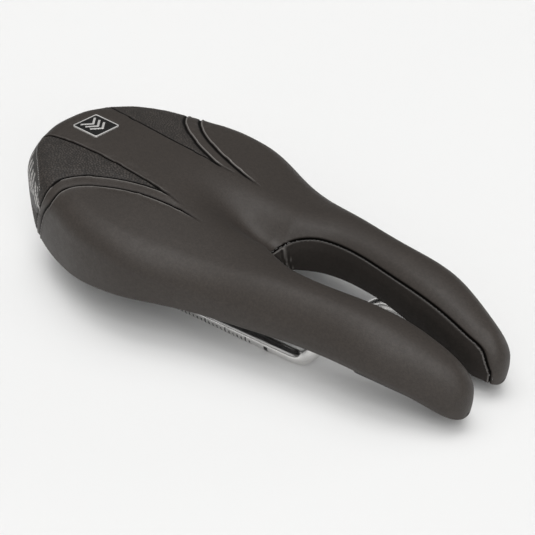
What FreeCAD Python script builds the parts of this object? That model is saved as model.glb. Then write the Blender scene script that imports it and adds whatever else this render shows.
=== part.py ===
import FreeCAD, Part
import math
import os
import Sketcher
from FreeCAD import Placement, Rotation, Vector

# Bicycle saddle with a split nose and a through relief slot.
# +X points to the nose, +Y to the rider's left, +Z up.  The origin lies midway
# between the two rails, at the height of their axes and at the middle of the
# straight length that the seatpost clamp grips.
# A "station" is an x measured forward from the rear edge of the saddle.

doc = FreeCAD.newDocument("bicycle_saddle")

SIZES = [
    # the whole saddle
    ("rear_offset", 115.0),      # rear edge behind the origin
    ("ref_height", 50.0),        # height of the crown reference above the rails
    # rails: straight lengths, and where the two ends lie
    ("rail_dia", 7.0), ("rail_space", 44.0), ("rail_fit", 0.06),
    ("rail_straight_back", -38.0), ("rail_straight_front", 49.0),
    ("rail_front_end", 110.0), ("rail_front_lat", 21.0), ("rail_front_up", 16.5),
    ("rail_rear_end", -92.0), ("rail_rear_lat", 29.0), ("rail_rear_up", 27.0),
    # padded body
    ("round_wide", 11.8), ("round_deep", 9.9), ("slot_round", 7.5),
    ("crown_drop", 5.3), ("arm_crown", 6.1), ("valley_deep", 10.1),
    ("slot_start", 139.4),
    ("cover_thick", 1.4), ("gap", 0.1), ("lip_wide", 5.0), ("lip_thick", 1.2),
    ("liner_thick", 1.4), ("inlay_thick", 0.6), ("inlay_inset", 3.2),
    # moulded base
    ("shell_inset", 4.0), ("shell_thick", 3.0), ("shell_dome", 17.0),
    ("shell_arm_dome", 4.0), ("rib_deep", 2.6), ("rib_wide", 2.0),
    ("boss_dia", 9.0), ("boss_tall", 5.0),
    # rail sockets
    ("front_socket_len", 36.0), ("front_socket_wide", 12.6), ("front_socket_mid", 104.0),
    ("rear_socket_len", 19.0), ("rear_socket_wide", 28.0), ("rear_socket_mid", -88.0),
    ("rear_socket_low", 13.6), ("rear_plate_low", 29.5), ("rear_seat_web", 4.0),
    ("socket_wall", 2.2),
    # screws
    ("screw_head_dia", 6.6), ("screw_head_tall", 2.2), ("screw_shank_dia", 3.4),
    ("screw_front_len", 13.5), ("screw_rear_len", 12.0), ("screw_key", 2.5),
    ("front_screw_pos", 116.6), ("rear_screw_side", 9.4),
    # badge
    ("badge_pos", 22.5), ("badge_size", 16.8), ("badge_tall", 1.5), ("badge_rim", 1.3),
    ("badge_inlay", 0.9), ("badge_sink", 1.0),
    # rear reflective strip
    ("strip_thick", 0.5), ("strip_top", 48.6), ("strip_bottom", 41.0), ("strip_reach", 26.0),
    # thread and staples
    ("thread_dia", 0.8), ("stitch_len", 2.6), ("stitch_pitch", 4.0),
    ("staple_wire", 0.6), ("staple_crown", 8.0), ("staple_leg", 3.2), ("staple_sink", 0.05),
]
# The four tables below are rows of (station, value).
# Outer border of the left half, value = y, from the rear edge round the tip of the left arm.
EDGE = [(0, 0), (0.6, 15.3), (3.7, 26.8), (9.5, 35.6), (17.7, 42.9), (28.3, 49.2), (40.9, 54.7),
        (55.4, 59.3), (68.7, 62.3), (81.0, 63.1), (94.6, 62.1), (108.0, 58.3), (122.0, 53.5),
        (140.6, 48.9), (162.0, 44.8), (184.8, 41.0), (205.0, 39.2), (218.5, 37.2), (230.4, 33.2),
        (242.3, 28.6), (250.4, 24.4), (254.2, 19.4), (254.9, 15.7), (254.4, 12.0), (251.6, 8.2),
        (244.8, 5.9)]
# Slot border of the left half, value = y, from the nose back to the closed end.
SLOT = [(234.6, 6.0), (222.4, 7.0), (208.6, 8.5), (194.1, 10.7), (180.0, 13.1), (166.5, 14.0),
        (155.3, 12.3), (146.7, 8.2), (141.3, 4.0), (139.4, 0)]
# Crown line, value = height from the crown reference.
CROWN = [(0, 17.0), (28.3, 15.1), (56.6, 11.8), (89.7, 6.8), (122.7, -0.3), (155.8, -3.1),
         (188.8, -5.8), (221.8, -10.7), (254.9, -26.4)]
# Skirt, value = depth of the side wall below the dropped crown.
SKIRT = [(0, 34.4), (56.6, 35.2), (89.7, 28.6), (122.7, 21.2), (155.8, 18.3), (188.8, 16.2),
         (221.8, 15.2), (254.9, 14.5)]
TABLES = {"edge": EDGE, "slot_edge": SLOT, "crown_line": CROWN, "skirt_line": SKIRT}

cells = list(SIZES)
for tag, rows in TABLES.items():
    for n, (station, value) in enumerate(rows):
        cells.append(("%s_pos_%d" % (tag, n), station))
        cells.append(("%s_val_%d" % (tag, n), value))
sheet = doc.addObject("Spreadsheet::Sheet", "Sizes")
for row, (alias, value) in enumerate(cells, 1):
    sheet.set("A%d" % row, alias)
    sheet.set("B%d" % row, str(value))
    sheet.setAlias("B%d" % row, alias)
doc.recompute()


def size(alias):
    value = getattr(sheet, alias)
    return float(value.Value) if hasattr(value, "Value") else float(value)


def table(tag):
    return [(size("%s_pos_%d" % (tag, n)), size("%s_val_%d" % (tag, n)))
            for n in range(len(TABLES[tag]))]


edge = table("edge")
slot = table("slot_edge")
rear = size("rear_offset")
ref_height = size("ref_height")
cover_thick = size("cover_thick")
gap = size("gap")
liner_thick = size("liner_thick")
shell_thick = size("shell_thick")
rail_half_space = size("rail_space") / 2
head_tall = size("screw_head_tall")
SIDES = (("left", 1), ("right", -1))
nodes = []                       # every object that is exported


# ---------------------------------------------------------------- shape helpers
PRISM_LOW, PRISM_TALL = -90.0, 180.0     # upright prisms reach past the whole saddle


def outward(shape):
    """The solid of an extrusion, with its faces looking outwards."""
    solid = shape.Solids[0]
    return solid.reversed() if solid.Volume < 0 else solid


def largest(shape):
    return sorted(shape.Solids, key=lambda solid: -solid.Volume)[0]


def cut_all(shape, tools):
    for tool in tools:
        shape = largest(shape.cut(tool))
    return shape


def raised(shape, rise):
    result = shape.copy()
    result.translate(Vector(0, 0, rise))
    return result


def is_upright(edge):
    return abs(edge.tangentAt(edge.FirstParameter).z) > 0.9


def round_uprights(shape, radius):
    return shape.makeFillet(radius, [e for e in shape.Edges if is_upright(e)])


def spline_edges(points, closed, pieces):
    """One smooth curve through the points, handed back as several edges."""
    curve = Part.BSplineCurve()
    curve.interpolate(Points=points, PeriodicFlag=closed)
    start, end = curve.FirstParameter, curve.LastParameter
    return [curve.toShape(start + (end - start) * k / pieces,
                          start + (end - start) * (k + 1) / pieces) for k in range(pieces)]


def prism(edges):
    return outward(Part.Face(Part.Wire(edges)).extrude(Vector(0, 0, PRISM_TALL)))


def feature(name, shape):
    """Adds a shape to the document as an exported piece."""
    added = doc.addObject("Part::Feature", name)
    added.Shape = shape
    nodes.append(added)


# ---------------------------------------------------------------- outline seen from above
SAMPLES = 560

ring = [Vector(x - rear, y, 0) for x, y in edge + slot]
ring += [Vector(x - rear, -y, 0) for x, y in reversed(slot[:-1])]
ring += [Vector(x - rear, -y, 0) for x, y in reversed(edge[1:])]
outline = Part.BSplineCurve()
outline.interpolate(Points=ring, PeriodicFlag=True)
# (point, unit normal into the material); the ring runs clockwise seen from above
border = []
for i in range(SAMPLES):
    first, last = outline.FirstParameter, outline.LastParameter
    u = first + (last - first) * i / SAMPLES
    tangent = outline.tangent(u)[0]
    border.append((outline.value(u), Vector(tangent.y, -tangent.x, 0)))
border_xy = [(point.x, point.y) for point, normal in border]


def planform(inset):
    """Upright prism over the outline, moved inward by the inset."""
    moved = [point + normal * inset for point, normal in border[::5]]
    return prism(spline_edges([Vector(p.x, p.y, PRISM_LOW) for p in moved], True, 28))


def border_distance(station, y):
    """Distance inward from the outline, and whether the nearest border is the slot's."""
    x, y = station - rear, -abs(y)
    near = min(range(SAMPLES),
               key=lambda i: (border_xy[i][0] - x) ** 2 + (border_xy[i][1] - y) ** 2)
    distance = 1e9
    for i in (near - 1, near):
        a, b = border_xy[i % SAMPLES], border_xy[(i + 1) % SAMPLES]
        dx, dy = b[0] - a[0], b[1] - a[1]
        along = ((x - a[0]) * dx + (y - a[1]) * dy) / (dx * dx + dy * dy)
        along = max(0.0, min(1.0, along))
        distance = min(distance, math.hypot(a[0] + along * dx - x, a[1] + along * dy - y))
    point, normal = border[near]
    inside = (x - point.x) * normal.x + (y - point.y) * normal.y > 0
    on_slot = 135.0 - rear < point.x < 246.0 - rear and abs(point.y) < 15.0
    return (distance if inside else -distance), on_slot


def slot_prism(grow):
    """Upright prism over the slot, widened into the material and open past the nose."""
    bank = []
    for point, normal in border:
        if 139.0 - rear < point.x < 243.5 - rear and -1e-6 <= point.y < 14.6:
            moved = point + normal * grow
            bank.append((moved.x, moved.y))
    bank = sorted(bank, key=lambda xy: -xy[0])[::3]
    bank = [xy for xy in bank if xy[1] > 1.2]
    curve = [Vector(x, y, PRISM_LOW) for x, y in bank]
    curve.append(Vector(size("slot_start") - rear - grow, 0, PRISM_LOW))
    curve += [Vector(x, -y, PRISM_LOW) for x, y in reversed(bank)]
    past_nose = 160.0
    left = Vector(past_nose, bank[0][1], PRISM_LOW)
    right = Vector(past_nose, -bank[0][1], PRISM_LOW)
    return prism([Part.makeLine(left, curve[0])] + spline_edges(curve, False, 12)
                 + [Part.makeLine(curve[-1], right), Part.makeLine(right, left)])


# ---------------------------------------------------------------- heights of the body
def spline(points):
    """Natural cubic through (station, value) points, held constant beyond the ends."""
    n = len(points)
    xs = [p[0] for p in points]
    ys = [p[1] for p in points]
    lower, diagonal, upper, right = [0.0] * n, [1.0] * n, [0.0] * n, [0.0] * n
    for i in range(1, n - 1):
        before, after = xs[i] - xs[i - 1], xs[i + 1] - xs[i]
        lower[i], diagonal[i], upper[i] = before, 2 * (before + after), after
        right[i] = 6 * ((ys[i + 1] - ys[i]) / after - (ys[i] - ys[i - 1]) / before)
    for i in range(1, n):
        factor = lower[i] / diagonal[i - 1]
        diagonal[i] -= factor * upper[i - 1]
        right[i] -= factor * right[i - 1]
    bend = [0.0] * n             # second derivatives
    bend[-1] = right[-1] / diagonal[-1]
    for i in range(n - 2, -1, -1):
        bend[i] = (right[i] - upper[i] * bend[i + 1]) / diagonal[i]

    def value_at(x):
        x = min(max(x, xs[0]), xs[-1])
        i = 0
        while i < n - 2 and x > xs[i + 1]:
            i += 1
        span = xs[i + 1] - xs[i]
        ahead, behind = xs[i + 1] - x, x - xs[i]
        return (bend[i] * ahead ** 3 / (6 * span) + bend[i + 1] * behind ** 3 / (6 * span)
                + (ys[i] / span - bend[i] * span / 6) * ahead
                + (ys[i + 1] / span - bend[i + 1] * span / 6) * behind)
    return value_at


crown_at = spline(table("crown_line"))
skirt_at = spline(table("skirt_line"))
half_width_at = spline(edge[:22])        # the stations that still run forward to the arm tip
slot_half_at = spline(sorted([p for p in slot if p[0] > 150] + [(255.0, 5.0)]))


def ramp(x, middle, spread):
    """Smooth step from 0 behind the middle to 1 in front of it."""
    return 1 / (1 + math.exp(-(x - middle) / spread))


def arm_share(station):
    """0 over the undivided rear, 1 over the two arms of the nose."""
    return ramp(station, size("slot_start"), 11.3)


def saddle_top(station, y):
    """Crown surface without the rounded shoulders, from the crown reference."""
    outer = max(20.0, half_width_at(min(station, 250.0)))
    inner = slot_half_at(min(max(station, 155.3), 250.0))
    arm_mid, arm_half = (outer + inner) / 2, (outer - inner) / 2
    arms, off = arm_share(station), abs(y)
    z = crown_at(station) - size("crown_drop") * min(off / outer, 1.15) ** 2.5 * (1 - arms)
    z -= size("arm_crown") * min(abs((off - arm_mid) / arm_half), 1.6) ** 2 * arms
    # valley that leads into the slot
    valley_mid, valley_long, valley_wide = size("slot_start") - 7.6, 26.4, 10.4
    z -= (size("valley_deep") * math.exp(-((station - valley_mid) / valley_long) ** 2)
          * math.exp(-(off / valley_wide) ** 2))
    return z


def shoulder(distance, wide, deep):
    """Drop of the rounded edge; a straight slope takes over near and past the border."""
    share = distance / wide
    if share >= 1:
        return 0.0
    if share < 0.06:
        return deep * (1 - math.sqrt(1 - 0.94 ** 2)) + (0.06 - share) * wide * 1.3
    return deep * (1 - math.sqrt(1 - (1 - share) ** 2))


def slot_shoulder(distance):
    return shoulder(distance, size("slot_round"), size("slot_round") * 0.8)


def top_z(station, y):
    distance, on_slot = border_distance(station, y)
    z = saddle_top(station, y)
    if on_slot:
        z -= slot_shoulder(max(distance, -3.0))
    else:
        z -= shoulder(max(distance, -6.0), size("round_wide"), size("round_deep"))
    return z + ref_height


def skirt_z(station):
    """Lower edge of the side wall."""
    arms = arm_share(station)
    drop = size("crown_drop") * (1 - arms) + size("arm_crown") * arms
    return crown_at(station) - drop - skirt_at(station) + ref_height


def base_z(station, y):
    """Underside of the moulded base: flat border, domed middle."""
    distance = border_distance(station, y)[0]
    arms = ramp(station, 128.0, 9.0)
    reach = 26.0 * (1 - arms) + 8.0 * arms
    dome = size("shell_dome") * (1 - arms) + size("shell_arm_dome") * arms
    share = max(0.0, min(1.0, (distance - size("lip_wide") - 2.0) / reach))
    return skirt_z(station) + size("lip_thick") + 0.1 + dome * (1 - (1 - share) ** 2.2)


def spread(low, length, steps):
    return [low + length * i / steps for i in range(steps + 1)]


def under(height, stations, laterals):
    """Solid lying below the surface height(station, y)."""
    surface = Part.BSplineSurface()
    surface.interpolate([[Vector(x - rear, y, height(x, y)) for y in laterals]
                         for x in stations])
    return outward(surface.toShape().extrude(Vector(0, 0, -300)))


# grids reach past the planform on every side
coarse_stations = spread(-8.0, 271.0, 30)
under_top = under(top_z, spread(-8.0, 271.0, 46), spread(-68.0, 136.0, 30))
under_skirt = under(lambda x, y: skirt_z(x), coarse_stations[::2], (-70.0, -25.0, 25.0, 70.0))
under_lip = raised(under_skirt, size("lip_thick"))
under_base = under(base_z, coarse_stations, spread(-68.0, 136.0, 22))
grown_slot = slot_prism(liner_thick + gap)


# ---------------------------------------------------------------- rails
def rear_end_line(side):
    """Ends of the straight rear length of a rail, which the rear socket holds."""
    flare = size("rail_rear_lat") - rail_half_space
    end = Vector(size("rail_rear_end"), size("rail_rear_lat") * side, size("rail_rear_up"))
    return end, end + Vector(24, -flare * 0.55 * side, -size("rail_rear_up") * 0.52)


def rail_wire(side):
    half = rail_half_space
    back, front = size("rail_straight_back"), size("rail_straight_front")
    lateral, up = size("rail_front_lat"), size("rail_front_up")
    clamp_back, clamp_front = Vector(back, half * side, 0), Vector(front, half * side, 0)
    front_start = Vector(front + 34, lateral * side, up)
    front_bend = Part.BSplineCurve()
    front_bend.interpolate(
        Points=[clamp_front, Vector(front + 8, (half - 0.05) * side, 1.4),
                Vector(front + 15.5, (half - 0.4) * side, up * 0.56),
                Vector(front + 23, (half - 0.8) * side, up * 0.9), front_start],
        InitialTangent=Vector(8, 0, 0), FinalTangent=Vector(8, 0, 0))
    rear_end, rear_start = rear_end_line(side)
    rear_bend = Part.BSplineCurve()
    rear_bend.interpolate(
        Points=[rear_start, (rear_start + clamp_back) * 0.5 + Vector(0, 0, -1.6), clamp_back],
        InitialTangent=(rear_start - rear_end) * 0.6, FinalTangent=Vector(14, 0, 0))
    return Part.Wire([
        Part.makeLine(rear_end, rear_start), rear_bend.toShape(),
        Part.makeLine(clamp_back, clamp_front), front_bend.toShape(),
        Part.makeLine(front_start, Vector(size("rail_front_end"), lateral * side, up))])


bore_radius = size("rail_dia") / 2 + size("rail_fit")


def rear_bore(side):
    end, start = rear_end_line(side)
    length = (start - end).Length + 14
    direction = (start - end).normalize()
    return Part.makeCylinder(bore_radius, length, end - direction * 0.2, direction)


def front_bore(side):
    base = Vector(size("rail_front_end") - 27, size("rail_front_lat") * side,
                  size("rail_front_up"))
    return Part.makeCylinder(bore_radius, 27.2, base, Vector(1, 0, 0))


for tag, side in SIDES:
    spine = doc.addObject("Part::Feature", "rail_spine_" + tag)
    spine.Shape = rail_wire(side)
    section = doc.addObject("Part::Circle", "rail_section_" + tag)
    section.setExpression("Radius", "Sizes.rail_dia / 2")
    start_edge = spine.Shape.Edges[0]
    start = start_edge.FirstParameter
    section.Placement = Placement(start_edge.valueAt(start),
                                  Rotation(Vector(0, 0, 1), start_edge.tangentAt(start)))
    sweep = doc.addObject("Part::Sweep", "rail_" + tag)
    sweep.Sections = [section]
    sweep.Spine = (spine, ["Edge%d" % (k + 1) for k in range(len(spine.Shape.Edges))])
    sweep.Solid = True
    sweep.Frenet = False
    sweep.Label = tag + "_rail"
    nodes.append(sweep)
doc.recompute()


# ---------------------------------------------------------------- sketch helpers
def add_sketch(body, name, role):
    sketch = body.newObject("Sketcher::SketchObject", name)
    plane = [o for o in body.Origin.OriginFeatures if o.Role == role][0]
    sketch.AttachmentSupport = [(plane, "")]
    sketch.MapMode = "FlatFace"
    return sketch


def add_polygon(sketch, points):
    count = len(points)
    for i in range(count):
        (x1, y1), (x2, y2) = points[i], points[(i + 1) % count]
        sketch.addGeometry(Part.LineSegment(Vector(x1, y1, 0), Vector(x2, y2, 0)), False)
    for i in range(count):
        sketch.addConstraint(Sketcher.Constraint("Coincident", i, 2, (i + 1) % count, 1))


def bind(sketch, expression, *constraint):
    """Adds a dimension and drives it from the spreadsheet."""
    index = sketch.addConstraint(Sketcher.Constraint(*constraint))
    sketch.setExpression("Constraints[%d]" % index, expression)


# ---------------------------------------------------------------- screws
def screw_body(name, length_alias):
    """Pan head screw, head down: a turned profile with a hexagon recess."""
    body = doc.addObject("PartDesign::Body", name)
    body.AllowCompound = True
    profile = add_sketch(body, name + "_profile", "XZ_Plane")
    head_radius, shank_radius = size("screw_head_dia") / 2, size("screw_shank_dia") / 2
    length = size(length_alias)
    add_polygon(profile, [(0, -head_tall), (head_radius, -head_tall), (head_radius, 0),
                          (shank_radius, 0), (shank_radius, length), (0, length)])
    for i in range(5):
        kind = "Vertical" if i % 2 else "Horizontal"
        profile.addConstraint(Sketcher.Constraint(kind, i))
    for line, end, axis in ((0, 1, -2), (4, 2, -2), (2, 1, -1)):
        profile.addConstraint(Sketcher.Constraint("PointOnObject", line, end, axis))
    bind(profile, "Sizes.screw_head_dia / 2", "DistanceX", -1, 1, 1, 1, head_radius)
    bind(profile, "Sizes.screw_shank_dia / 2", "DistanceX", -1, 1, 3, 1, shank_radius)
    bind(profile, "Sizes.screw_head_tall", "DistanceY", 1, 1, -1, 1, head_tall)
    bind(profile, "Sizes." + length_alias, "DistanceY", -1, 1, 4, 1, length)
    turned = body.newObject("PartDesign::Revolution", name + "_turned")
    turned.Profile = profile
    turned.ReferenceAxis = (profile, ["V_Axis"])
    turned.Angle = 360
    doc.recompute()
    key = add_sketch(body, name + "_key", "XY_Plane")
    key.AttachmentOffset = Placement(Vector(0, 0, -head_tall), Rotation())
    corner = size("screw_key") / math.sqrt(3)
    add_polygon(key, [(corner * math.cos(math.pi / 3 * i), corner * math.sin(math.pi / 3 * i))
                      for i in range(6)])
    recess = body.newObject("PartDesign::Pocket", name + "_recess")
    recess.Profile = key
    recess.setExpression("Length", "Sizes.screw_head_tall * 0.65")
    recess.Reversed = True
    doc.recompute()
    return body


def copies(body, places):
    shapes = []
    for place in places:
        shape = body.Tip.Shape.copy()
        shape.translate(place)
        shapes.append(shape)
    return Part.makeCompound(shapes)


# a screw's place is the underside of its head's rim, where shank and head meet
front_low = size("rail_front_up") - size("rail_dia") / 2 - size("socket_wall")
front_seat = front_low + head_tall + 0.3
front_places = [Vector(size("front_screw_pos"), side * size("rail_front_lat"), front_seat)
                for tag, side in SIDES]
rear_mid = size("rear_socket_mid")
# lateral place of the rail axis near the middle of the rear socket
rear_rail_y = rail_half_space + (size("rail_rear_lat") - rail_half_space) * 0.86
rear_places = []
for tag, side in SIDES:
    for step in (-1, 1):
        y = side * (rear_rail_y + step * size("rear_screw_side"))
        z = base_z(rear_mid + rear, y) - size("rear_seat_web")
        rear_places.append(Vector(rear_mid, y, z))
front_screws = copies(screw_body("front_screw_master", "screw_front_len"), front_places)
rear_screws = copies(screw_body("rear_screw_master", "screw_rear_len"), rear_places)
feature("front_socket_screws", front_screws)
feature("rear_socket_screws", rear_screws)


# ---------------------------------------------------------------- rail sockets
head_clearance = size("screw_head_dia") / 2 + 0.3


def rounded_block(length, wide, tall, mid_x, mid_y, low, radius):
    block = Part.makeBox(length, wide, tall, Vector(mid_x - length / 2, mid_y - wide / 2, low))
    return round_uprights(block, radius)


def front_socket(side):
    y = side * size("rail_front_lat")
    block = rounded_block(size("front_socket_len"), size("front_socket_wide"), 40,
                          size("front_socket_mid"), y, front_low, 4.0)
    block = block.common(under_base).cut(front_bore(side)).cut(front_screws)
    # open counterbore under the screw head
    low = Vector(size("front_screw_pos"), y, front_seat - head_tall - 2)
    return largest(block.cut(Part.makeCylinder(head_clearance, head_tall + 2, low)))


def rear_socket(side):
    """Tower around the rail, with a plate that takes two screws."""
    length, y = size("rear_socket_len"), side * rear_rail_y
    plate = rounded_block(length - 3, size("rear_socket_wide"), 60, rear_mid, y,
                          size("rear_plate_low"), 4.0)
    tower = rounded_block(length, 12.0, 60, rear_mid, y, size("rear_socket_low"), 3.0)
    block = tower.fuse(plate).common(under_base).cut(rear_bore(side)).cut(rear_screws)
    block = largest(block)
    # counterbores, only where the head sits high enough
    bore_low = size("rear_plate_low") - 4
    for place in rear_places:
        if place.y * side > 0 and place.z - 2.4 > bore_low:
            block = largest(block.cut(Part.makeCylinder(
                head_clearance, place.z - bore_low, Vector(place.x, place.y, bore_low))))
    return block


for tag, side in SIDES:
    feature("front_rail_socket_" + tag, front_socket(side))
    feature("rear_rail_socket_" + tag, rear_socket(side))


# ---------------------------------------------------------------- cover staples
STAPLE_INSET = 5.0
FIRST_STAPLE, STAPLE_PITCH = 16.0, 23.0      # lengths along the inset border


def staple(point, normal):
    """A staple pressed up through the lip, its crown along the border."""
    wire, crown, leg = size("staple_wire"), size("staple_crown"), size("staple_leg")
    station = point.x + rear
    shape = Part.makeBox(crown, wire, wire, Vector(-crown / 2, -wire / 2, -wire))
    for x in (-crown / 2, crown / 2 - wire):
        shape = shape.fuse(Part.makeBox(wire, wire, leg, Vector(x, -wire / 2, -wire)))
    shape = shape.removeSplitter()
    turn = math.degrees(math.atan2(normal.y, normal.x)) - 90
    slope = math.atan((skirt_z(station + 1) - skirt_z(station - 1)) / 2)
    tilt = Rotation(Vector(0, 1, 0), -math.degrees(slope))
    shape.Placement = Placement(
        Vector(point.x, point.y, skirt_z(station) + size("staple_sink")),
        tilt.multiply(Rotation(Vector(0, 0, 1), turn)))
    return largest(shape)


staple_list = []
path = [(point + normal * STAPLE_INSET, normal) for point, normal in border]
run, wanted = 0.0, FIRST_STAPLE
previous = path[0][0]
for point, normal in path[1:]:
    run += (point - previous).Length
    previous = point
    station = point.x + rear
    on_slot = abs(point.y) < 18.5 and station > 134
    if run < wanted or on_slot or station > 246:
        continue
    run, wanted = 0.0, STAPLE_PITCH
    staple_list.append(staple(point, normal))
staples = Part.makeCompound(staple_list)
feature("cover_staples", staples)

# ---------------------------------------------------------------- moulded base
RIB_TALL = 60                    # boxes are trimmed to the underside of the base
LONG_RIB_START, LONG_RIB_LEN, LONG_RIB_Y = -64, 92, 12
CROSS_RIB_X, CROSS_RIB_LEN = (-52.0, -22.0), 70

rib_wide = size("rib_wide")
ribs = [Part.makeBox(LONG_RIB_LEN, rib_wide, RIB_TALL,
                     Vector(LONG_RIB_START, side * LONG_RIB_Y - rib_wide / 2, 0))
        for tag, side in SIDES]
ribs += [Part.makeBox(rib_wide, CROSS_RIB_LEN, RIB_TALL, Vector(x, -CROSS_RIB_LEN / 2, 0))
         for x in CROSS_RIB_X]
rib_grid = ribs[0].fuse(ribs[1:]).common(raised(under_base, shell_thick / 2))
rib_grid = rib_grid.cut(raised(under_base, -size("rib_deep")))

# a boss above every screw
bosses = []
for place in front_places + rear_places:
    low = base_z(place.x + rear, place.y) + shell_thick / 2
    bosses.append(Part.makeCylinder(size("boss_dia") / 2, shell_thick / 2 + size("boss_tall"),
                                    Vector(place.x, place.y, low)))

shell = planform(size("shell_inset")).common(raised(under_base, shell_thick))
shell = largest(shell.cut(under_base))
shell = largest(shell.fuse(rib_grid))
shell = largest(shell.fuse(bosses))
feature("base_shell", cut_all(shell, [staples, front_screws, rear_screws]))

# ---------------------------------------------------------------- inlaid panels and bands
REBATE_FIT = 0.05
# Borders of the left half, as (station, y).
# Panel: the inner border runs forward, the front border runs back and outward.
PANEL_INNER = [(-6, 23.5), (4, 22.3), (14, 20.9), (24, 19.6), (40, 18.5), (58, 18.2),
               (76, 18.6), (93, 19.2)]
PANEL_FRONT = [(93, 20.4), (80, 21.8), (70, 24.4), (62, 27.8), (55, 32.2), (49.5, 37.2),
               (45, 43), (41, 50.5), (38, 60)]
PANEL_CORNERS = [(38, 70), (-6, 70)]         # beyond the outline
# Band: the rear border runs outward, the front border runs back inward.
BAND_REAR = [(110.5, 21.5), (96.5, 20.9), (82, 22.3), (71.5, 25.0), (63.2, 28.6),
             (56.2, 33.0), (50.6, 38.0), (46.1, 43.8), (42.1, 51.1), (39.1, 60)]
BAND_FRONT = [(44.6, 60), (47.6, 52.6), (51.2, 46.3), (56.0, 41.2), (61.8, 36.8),
              (70.0, 32.0), (79.5, 28.2), (89.5, 25.3), (100, 23.2), (110.5, 21.9)]
# (label, first curve, second curve, corners that close it, edges per curve)
INLAYS = (("grained_panel_", PANEL_INNER, PANEL_FRONT, PANEL_CORNERS, 5),
          ("sweep_band_", BAND_REAR, list(reversed(BAND_FRONT)), [], 6))
INLAYS = (INLAYS[0], ("sweep_band_", BAND_REAR, BAND_FRONT, [], 6))


def inlay_prism(first, second, corners, pieces, side):
    first, second, corners = [[Vector(x - rear, y * side, PRISM_LOW) for x, y in points]
                              for points in (first, second, corners)]
    edges = spline_edges(first, False, pieces) + [Part.makeLine(first[-1], second[0])]
    edges += spline_edges(second, False, pieces)
    chain = [second[-1]] + corners + [first[0]]
    edges += [Part.makeLine(a, b) for a, b in zip(chain, chain[1:])]
    return prism(edges)


inlay_plan = planform(size("inlay_inset"))
rebate_plan = planform(size("inlay_inset") - REBATE_FIT)
inlay_floor = raised(under_top, -size("inlay_thick"))
rebate_floor = raised(under_top, -size("inlay_thick") - REBATE_FIT)
rebates = []
for tag, side in SIDES:
    for label, first, second, corners, pieces in INLAYS:
        field = inlay_prism(first, second, corners, pieces, side)
        inlay = field.common(inlay_plan).common(under_top).cut(inlay_floor)
        feature(label + tag, largest(inlay))
        rebates.append(field.common(rebate_plan).cut(rebate_floor))


# ---------------------------------------------------------------- badge
def square_sketch(body, name, side_length, expression):
    sketch = add_sketch(body, name, "XY_Plane")
    half = side_length / 2
    add_polygon(sketch, [(-half, -half), (half, -half), (half, half), (-half, half)])
    for i, kind in ((0, "Horizontal"), (2, "Horizontal"), (1, "Vertical"), (3, "Vertical")):
        sketch.addConstraint(Sketcher.Constraint(kind, i))
    sketch.addConstraint(Sketcher.Constraint("Symmetric", 0, 1, 1, 2, -1, 1))
    bind(sketch, expression, "DistanceX", 0, 1, 0, 2, side_length)
    bind(sketch, expression, "DistanceY", 1, 1, 1, 2, side_length)
    return sketch


def square_block(name, side_length, expression, tall_expression, radius):
    """Square plate with rounded corners; returns its body and its last feature."""
    body = doc.addObject("PartDesign::Body", name)
    pad = body.newObject("PartDesign::Pad", name + "_block") if False else None
    outline_sketch = square_sketch(body, name + "_outline", side_length, expression)
    pad = body.newObject("PartDesign::Pad", name + "_block")
    pad.Profile = outline_sketch
    pad.setExpression("Length", tall_expression)
    doc.recompute()
    fillet = body.newObject("PartDesign::Fillet", name + "_corners")
    fillet.Base = (pad, ["Edge%d" % (i + 1) for i, e in enumerate(pad.Shape.Edges)
                         if is_upright(e)])
    fillet.Radius = radius
    doc.recompute()
    nodes.append(body)
    return body, fillet


badge_size = size("badge_size")
window_size = badge_size - 2 * size("badge_rim")
window_expression = "Sizes.badge_size - 2 * Sizes.badge_rim"
frame, frame_block = square_block("badge_frame", badge_size, "Sizes.badge_size",
                                  "Sizes.badge_tall", 1.2)
window = square_sketch(frame, "badge_frame_window", window_size, window_expression)
window.setExpression(".AttachmentOffset.Base.z", "Sizes.badge_tall")
recess = frame.newObject("PartDesign::Pocket", "badge_frame_recess")
recess.Profile = window
recess.setExpression("Length", "Sizes.badge_inlay")
solid_volume = frame_block.Shape.Volume
doc.recompute()
# turns the pocket round if it points away from the plate
if recess.Shape.Volume > solid_volume - 1:
    recess.Reversed = True
    doc.recompute()
badge_inlay, _ = square_block("badge_inlay", window_size - 0.1, window_expression + " - 0.1",
                              "Sizes.badge_inlay - 0.15", 0.6)

# the badge lies along the slope of the crown
badge_station = size("badge_pos")
slope = (saddle_top(badge_station + 6, 5) - saddle_top(badge_station - 6, 5)) / 12
tilt = Rotation(Vector(0, 1, 0), -math.degrees(math.atan(slope)))
badge_low = Vector(badge_station - rear, 0, saddle_top(badge_station, badge_size / 2)
                   + ref_height - size("badge_sink"))
lift = tilt.multVec(Vector(0, 0, size("badge_tall") - size("badge_inlay") + 0.02))
frame.Placement = Placement(badge_low, tilt)
badge_inlay.Placement = Placement(badge_low + lift, tilt)
doc.recompute()


def badge_seat(margin, tall, low):
    """Room for the badge, wider than it by the margin on each side."""
    wide = badge_size + 2 * margin
    seat = Part.makeBox(wide, wide, tall,
                        Vector(-badge_size / 2 - margin, -badge_size / 2 - margin, low))
    seat.Placement = Placement(badge_low, tilt)
    return seat


# ---------------------------------------------------------------- rear reflective strip
def rear_zone(grow):
    """Box round the rear edge at the height of the strip."""
    return Part.makeBox(size("strip_reach") + 20 + grow, 160,
                        size("strip_top") - size("strip_bottom") + grow,
                        Vector(-rear - 20, -80, size("strip_bottom") - grow / 2))


strip_thick = size("strip_thick")
strip = planform(-0.1).cut(planform(strip_thick - 0.1)).common(rear_zone(0))
strip_rebate = planform(-1.0).cut(planform(strip_thick - 0.08)).common(rear_zone(0.1))
feature("rear_reflective_strip", largest(strip))

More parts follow.
